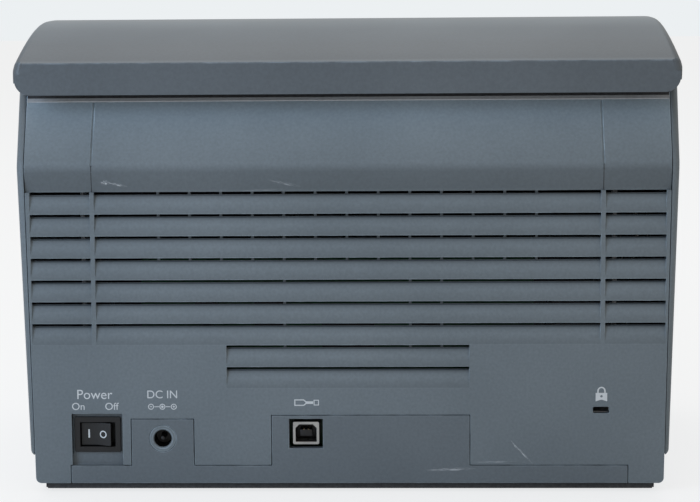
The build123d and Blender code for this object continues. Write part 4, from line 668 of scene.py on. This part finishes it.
# Lid with its lining and paper guides
# Crowned shell moulded in slate ABS, glossier than the covers from handling, hinged on
# steel pins. A black plate is snapped in below, with racks and a pinion for the guides.
# Its height ramp paints light: a pale line along the crease at 196 mm is a painted highlight, and the top
# grows lighter towards the crown as a painted reflection of the bright backdrop.
lid_abs = spark_textured_abs(
    "polished_slate_abs_painted_highlight", "#596269", "#5d666d", "#555e65", rough=0.4, depth_mm=0.02,
    painted_light_by_height=(
        (0, 0.92), (195.4, 0.92), (195.9, 1.3), (196.5, 1.3), (197, 0.97), (203, 1.12), (209, 1.55),
        (212, 2.1)))
moulded("lid_shell", 0.5, lid_abs, "lid_crown", sharp=18, steps=3, least_mm=60)
moulded("lid_lining", 0.3, black_abs, "lid_inner_plate")
moulded("tray_extension", 0.3, black_abs, "lid_slide")
paint(nodes["lid_hinge_pins"], ground_steel)
moulded("guide_pinion", 0.08, white_acetal, "rack_pinion")
for guide_side in ("left", "right"):
    moulded("paper_guide_" + guide_side, 0.25, black_abs, "side_guide_" + guide_side)


# Printed marks
# Lettering and symbols in pale ink, pad-printed on the finished mouldings, a few
# hundredths of a millimetre thick.
pale_ink = dense_plastic("pale_pad_print", "#c8ced2", 0.5, grain_mm=1.5)


def ring(u, v, radius, count=28):
    """Outline of a circle."""
    return [(u + radius * cos(radians(360 * k / count)), v + radius * sin(radians(360 * k / count)))
            for k in range(count)]


def rectangle(u, v, wide, high):
    """Outline of a rectangle about its centre."""
    return [(u - wide / 2, v - high / 2), (u + wide / 2, v - high / 2), (u + wide / 2, v + high / 2),
            (u - wide / 2, v + high / 2)]


def printed(name, host, at_mm, facing, upward_way, outlines=(), words="", size_mm=4.0, finish=pale_ink):
    """Flat marks laid on a node where a line against the facing direction meets it."""
    if words:
        flat = bpy.data.curves.new(name, "FONT")
        flat.body = words
        flat.size = size_mm
        flat.align_x = "CENTER"
        flat.align_y = "CENTER"
    else:
        flat = bpy.data.curves.new(name, "CURVE")
        flat.dimensions = "2D"
        for outline in outlines:
            spline = flat.splines.new("POLY")
            spline.points.add(len(outline) - 1)
            for point, (u, v) in zip(spline.points, outline):
                point.co = (u, v, 0, 1)
            spline.use_cyclic_u = True
    flat.fill_mode = "BOTH"
    flat.extrude = 0.015
    draft = bpy.data.objects.new(name, flat)
    bpy.context.scene.collection.objects.link(draft)
    mesh = bpy.data.meshes.new_from_object(draft.evaluated_get(bpy.context.evaluated_depsgraph_get()))
    bpy.data.objects.remove(draft)
    away = Vector(facing)
    start = Vector(at_mm) / 1000 + away * 0.1
    surface = BVHTree.FromPolygons(
        [v.co for v in nodes[host].data.vertices], [p.vertices for p in nodes[host].data.polygons])
    spot, normal, face, reach = surface.ray_cast(start, -away)
    sideways = Vector(upward_way).cross(normal).normalized()
    lengthwise = normal.cross(sideways)
    mesh.transform(Matrix((
        (sideways.x, lengthwise.x, normal.x, spot.x), (sideways.y, lengthwise.y, normal.y, spot.y),
        (sideways.z, lengthwise.z, normal.z, spot.z), (0, 0, 0, 1))) @ Matrix.Scale(0.001, 4))
    piece = bpy.data.objects.new(name, mesh)
    bpy.context.scene.collection.objects.link(piece)
    paint(piece, finish)
    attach(piece, nodes[host]["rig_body"])


back, front, up = (0, 1, 0), (0, -1, 0), (0, 0, 1)
for mark, words, x, z, size_mm in (
        ("power_word", "Power", 115.5, 45.1, 6.2), ("on_word", "On", 122.9, 39.6, 4.7),
        ("off_word", "Off", 107.7, 39.6, 4.7), ("supply_word", "DC IN", 84.5, 45.1, 5.2)):
    printed(mark, "rear_cover", (x, 100, z), back, up, words=words, size_mm=size_mm)
for seam_x in (115.1, -115.1):
    for part_z, part_high in ((142.4, 9.0), (148.5, 2.9)):
        printed("seam_shadow", "rear_cover", (seam_x, 100, part_z), back, up, finish=black_nylon, outlines=(
            rectangle(0, 0, 0.32, part_high),))
polarity = []
for u, radius in ((-5.2, 1.35), (0, 1.35), (5.2, 1.35)):
    polarity += [ring(u, 0, radius), ring(u, 0, radius - 0.38)]
polarity += [ring(0, 0, 0.55), rectangle(-2.6, 0, 2.1, 0.34), rectangle(2.6, 0, 2.1, 0.34)]
polarity += [rectangle(-5.2, 0, 1.1, 0.34)]
polarity += [[(5.2 + u, v) for u, v in (
    (-0.55, -0.16), (-0.16, -0.16), (-0.16, -0.55), (0.16, -0.55), (0.16, -0.16), (0.55, -0.16), (0.55, 0.16),
    (0.16, 0.16), (0.16, 0.55), (-0.16, 0.55), (-0.16, 0.16), (-0.55, 0.16))]]
printed("polarity_mark", "rear_cover", (84.5, 100, 39.6), back, up, outlines=polarity)
printed("port_mark", "rear_cover", (18.8, 100, 41.4), back, up, outlines=(
    [(-5.6, -1.5), (-1.2, -1.5), (-0.2, -0.6), (3.0, -0.6), (3.0, 0.6), (-0.2, 0.6), (-1.2, 1.5),
     (-5.6, 1.5)],
    [(-5.1, -1.0), (-1.4, -1.0), (-0.5, -0.2), (-0.5, 0.2), (-1.4, 1.0), (-5.1, 1.0)],
    rectangle(4.4, 0, 2.4, 2.6), rectangle(4.4, 0, 1.6, 1.8)))
shackle = [(1.9 * cos(radians(a)), 1.3 + 2.0 * sin(radians(a))) for a in range(0, 181, 15)]
shackle += [(-1.9, 0.4), (-1.25, 0.4)]
shackle += [(1.25 * cos(radians(a)), 1.3 + 1.4 * sin(radians(a))) for a in range(180, -1, -15)]
shackle += [(1.25, 0.4), (1.9, 0.4)]
printed("lock_mark", "rear_cover", (-114.6, 100, 45.2), back, up, outlines=(
    shackle, [(-2.6, -3.4), (2.6, -3.4), (2.6, 0.5), (-2.6, 0.5)], ring(0, -1.1, 0.55),
    rectangle(0, -2.1, 0.5, 1.1)))
printed("rocker_on_mark", "switch_rocker", (118.6, 100, 26.6), back, up, outlines=(
    rectangle(0, 0, 0.7, 3.9),))
printed("rocker_off_mark", "switch_rocker", (112.0, 100, 26.4), back, up, outlines=(
    ring(0, 0, 1.75), ring(0, 0, 1.2)))
printed("start_mark", "start_button", (88, -100, 109), front, up, outlines=(
    [(-2.6, -3.4), (3.8, 0), (-2.6, 3.4)],))
printed("stop_mark", "stop_button", (88, -100, 131), front, up, outlines=(rectangle(0, 0, 4.2, 4.2),))
printed("mode_mark", "mode_button", (88, -100, 149), front, up, outlines=(
    rectangle(0, 1.7, 5.0, 0.8), rectangle(0, 0, 5.0, 0.8), rectangle(0, -1.7, 5.0, 0.8)))
ticks = [rectangle(10.0 * k, 0, 0.35, 4.5 if k % 5 else 7.5) for k in range(-10, 11)]
printed("paper_scale", "lid_lining", (0, -40, 187), (0, 0, -1), (0, -1, 0), outlines=ticks)


# Shadow rim
# Strip of black rubber along the lower edge of the base, set back from the walls: a painted
# shadow, a dark piece standing for the shade under the machine, so that it seems to stand clear of the table.
shadow_rim = bmesh.new()
for rim_size, rim_centre in (
        ((276, 2.0, 2.8), (0, 97.0, 2.6)), ((276, 2.0, 2.8), (0, -91, 2.6)),
        ((2.0, 186.0, 2.8), (138, 3.0, 2.6)), ((2.0, 186.0, 2.8), (-138, 3.0, 2.6))):
    block(shadow_rim, rim_size, rim_centre, 0.2)
settled("shadow_rim", shadow_rim, black_rubber, "chassis")


# Base screws
# Pan-head self-tapping screws of blackened steel with a cross recess, driven into the
# underside of the base.
blackened = bare_steel("blackened_screw_steel", "#4a4c4f", 0.4)
screw = bmesh.new()
bmesh.ops.create_cone(
    screw, cap_ends=True, segments=32, radius1=0.0031, radius2=0.0031, depth=0.0014,
    matrix=Matrix.Translation((0, 0, -0.0004)))
bmesh.ops.bevel(
    screw, geom=[e for e in screw.edges if e.calc_face_angle(0) > 1], offset=0.0005, segments=3,
    affect="EDGES")
block(screw, (3.4, 0.75, 0.5), (0, 0, -0.95), 0.1)
block(screw, (0.75, 3.4, 0.5), (0, 0, -0.95), 0.1)
lone_screw = loose("base_screws", screw, blackened)
lone_screw.data.shade_smooth()
lone_screw.data.set_sharp_from_angle(angle=radians(35))
copied(
    lone_screw, "chassis", "bright_steel", Count=5, Step=(0.055, 0, 0), Scatter=(0, 0.0, 0), Seed=1,
    Axis=(-0.11, 0.06, 0.004))


# Studio
# Pale laminate table top that runs into an even backdrop, under one large soft lamp
# above and two smaller ones at the sides.
floor_mesh = bpy.data.meshes.new("table_top")
floor_mesh.from_pydata([(-4, -4, 0), (4, -4, 0), (4, 4, 0), (-4, 4, 0)], [], [(0, 1, 2, 3)])
table_top = bpy.data.objects.new("table_top", floor_mesh)
bpy.context.scene.collection.objects.link(table_top)
table_paper, table_tree, table_out = new_material("white_table_laminate")
table_seen = put(table_tree, "ShaderNodeLightPath", {}, {})
table_part = put(table_tree, "ShaderNodeMath", {"operation": "MULTIPLY"}, {
    0: table_seen.outputs["Is Camera Ray"], 1: 0.76})
table_gloss = put(table_tree, "ShaderNodeBsdfPrincipled", {}, {
    "Base Color": linear("#f4f6f7"), "Roughness": 0.45})
table_glow = put(table_tree, "ShaderNodeEmission", {}, {"Color": linear("#fdfeff"), "Strength": 1.0})
table_mix = put(table_tree, "ShaderNodeMixShader", {}, {0: table_part.outputs[0], 1: table_gloss.outputs[0]})
table_tree.links.new(table_glow.outputs[0], table_mix.inputs[2])
table_tree.links.new(table_mix.outputs[0], table_out.inputs["Surface"])
paint(table_top, table_paper)

world = bpy.data.worlds.new("studio")
bpy.context.scene.world = world
world.use_nodes = True
air = world.node_tree
air.nodes.clear()
air_path = put(air, "ShaderNodeLightPath", {}, {})
air_soft = put(air, "ShaderNodeBackground", {}, {"Color": linear("#f3eee8"), "Strength": 0.6})
air_seen = put(air, "ShaderNodeBackground", {}, {"Color": linear("#ecf0f2"), "Strength": 1.0})
air_mix = put(air, "ShaderNodeMixShader", {}, {0: air_path.outputs["Is Camera Ray"], 1: air_soft.outputs[0]})
air.links.new(air_seen.outputs[0], air_mix.inputs[2])
air_out = air.nodes.new("ShaderNodeOutputWorld")
air.links.new(air_mix.outputs[0], air_out.inputs["Surface"])

for lamp_name, place, colour, power, size in (
        ("overhead_softbox", (0.2, -0.6, 2.0), "#fffdfa", 13.0, 1.8),
        ("left_softbox", (0.85, 0.8, 0.5), "#cbe2ff", 5.6, 0.6),
        ("right_fill", (-1.3, 2.2, 0.5), "#ffcfa8", 0.9, 1.2)):
    lamp_data = bpy.data.lights.new(lamp_name, "AREA")
    lamp_data.energy = power
    lamp_data.size = size
    lamp_data.color = linear(colour)[:3]
    lamp = bpy.data.objects.new(lamp_name, lamp_data)
    lamp.location = place
    lamp.rotation_euler = (Vector((0, 0, 0.1)) - Vector(place)).to_track_quat("-Z", "Y").to_euler()
    bpy.context.scene.collection.objects.link(lamp)


# Camera
# Long lens, set up behind the machine and a little above it, turned slightly to its
# left, as the photographer stood.
yaw, pitch, roll = radians(2.11), radians(-7.33), radians(-0.50)
ahead = Vector((sin(yaw) * cos(pitch), -cos(yaw) * cos(pitch), sin(pitch)))
level = Vector((-cos(yaw), -sin(yaw), 0))
upward = level.cross(ahead)
right = cos(roll) * level + sin(roll) * upward
top = cos(roll) * upward - sin(roll) * level
camera_data = bpy.data.cameras.new("rear_view")
camera_data.sensor_width = 36.0
camera_data.lens = 2453 / 700 * 36.0
camera_data.shift_x = 0.0576
camera_data.shift_y = -0.0304
camera_data.clip_end = 20.0
camera = bpy.data.objects.new("rear_view", camera_data)
camera.matrix_world = Matrix((
    (right.x, top.x, -ahead.x, -0.0236), (right.y, top.y, -ahead.y, 1.1941),
    (right.z, top.z, -ahead.z, 0.2614),
    (0, 0, 0, 1)))
bpy.context.scene.collection.objects.link(camera)
bpy.context.scene.camera = camera
bpy.context.scene.view_settings.view_transform = "Standard"
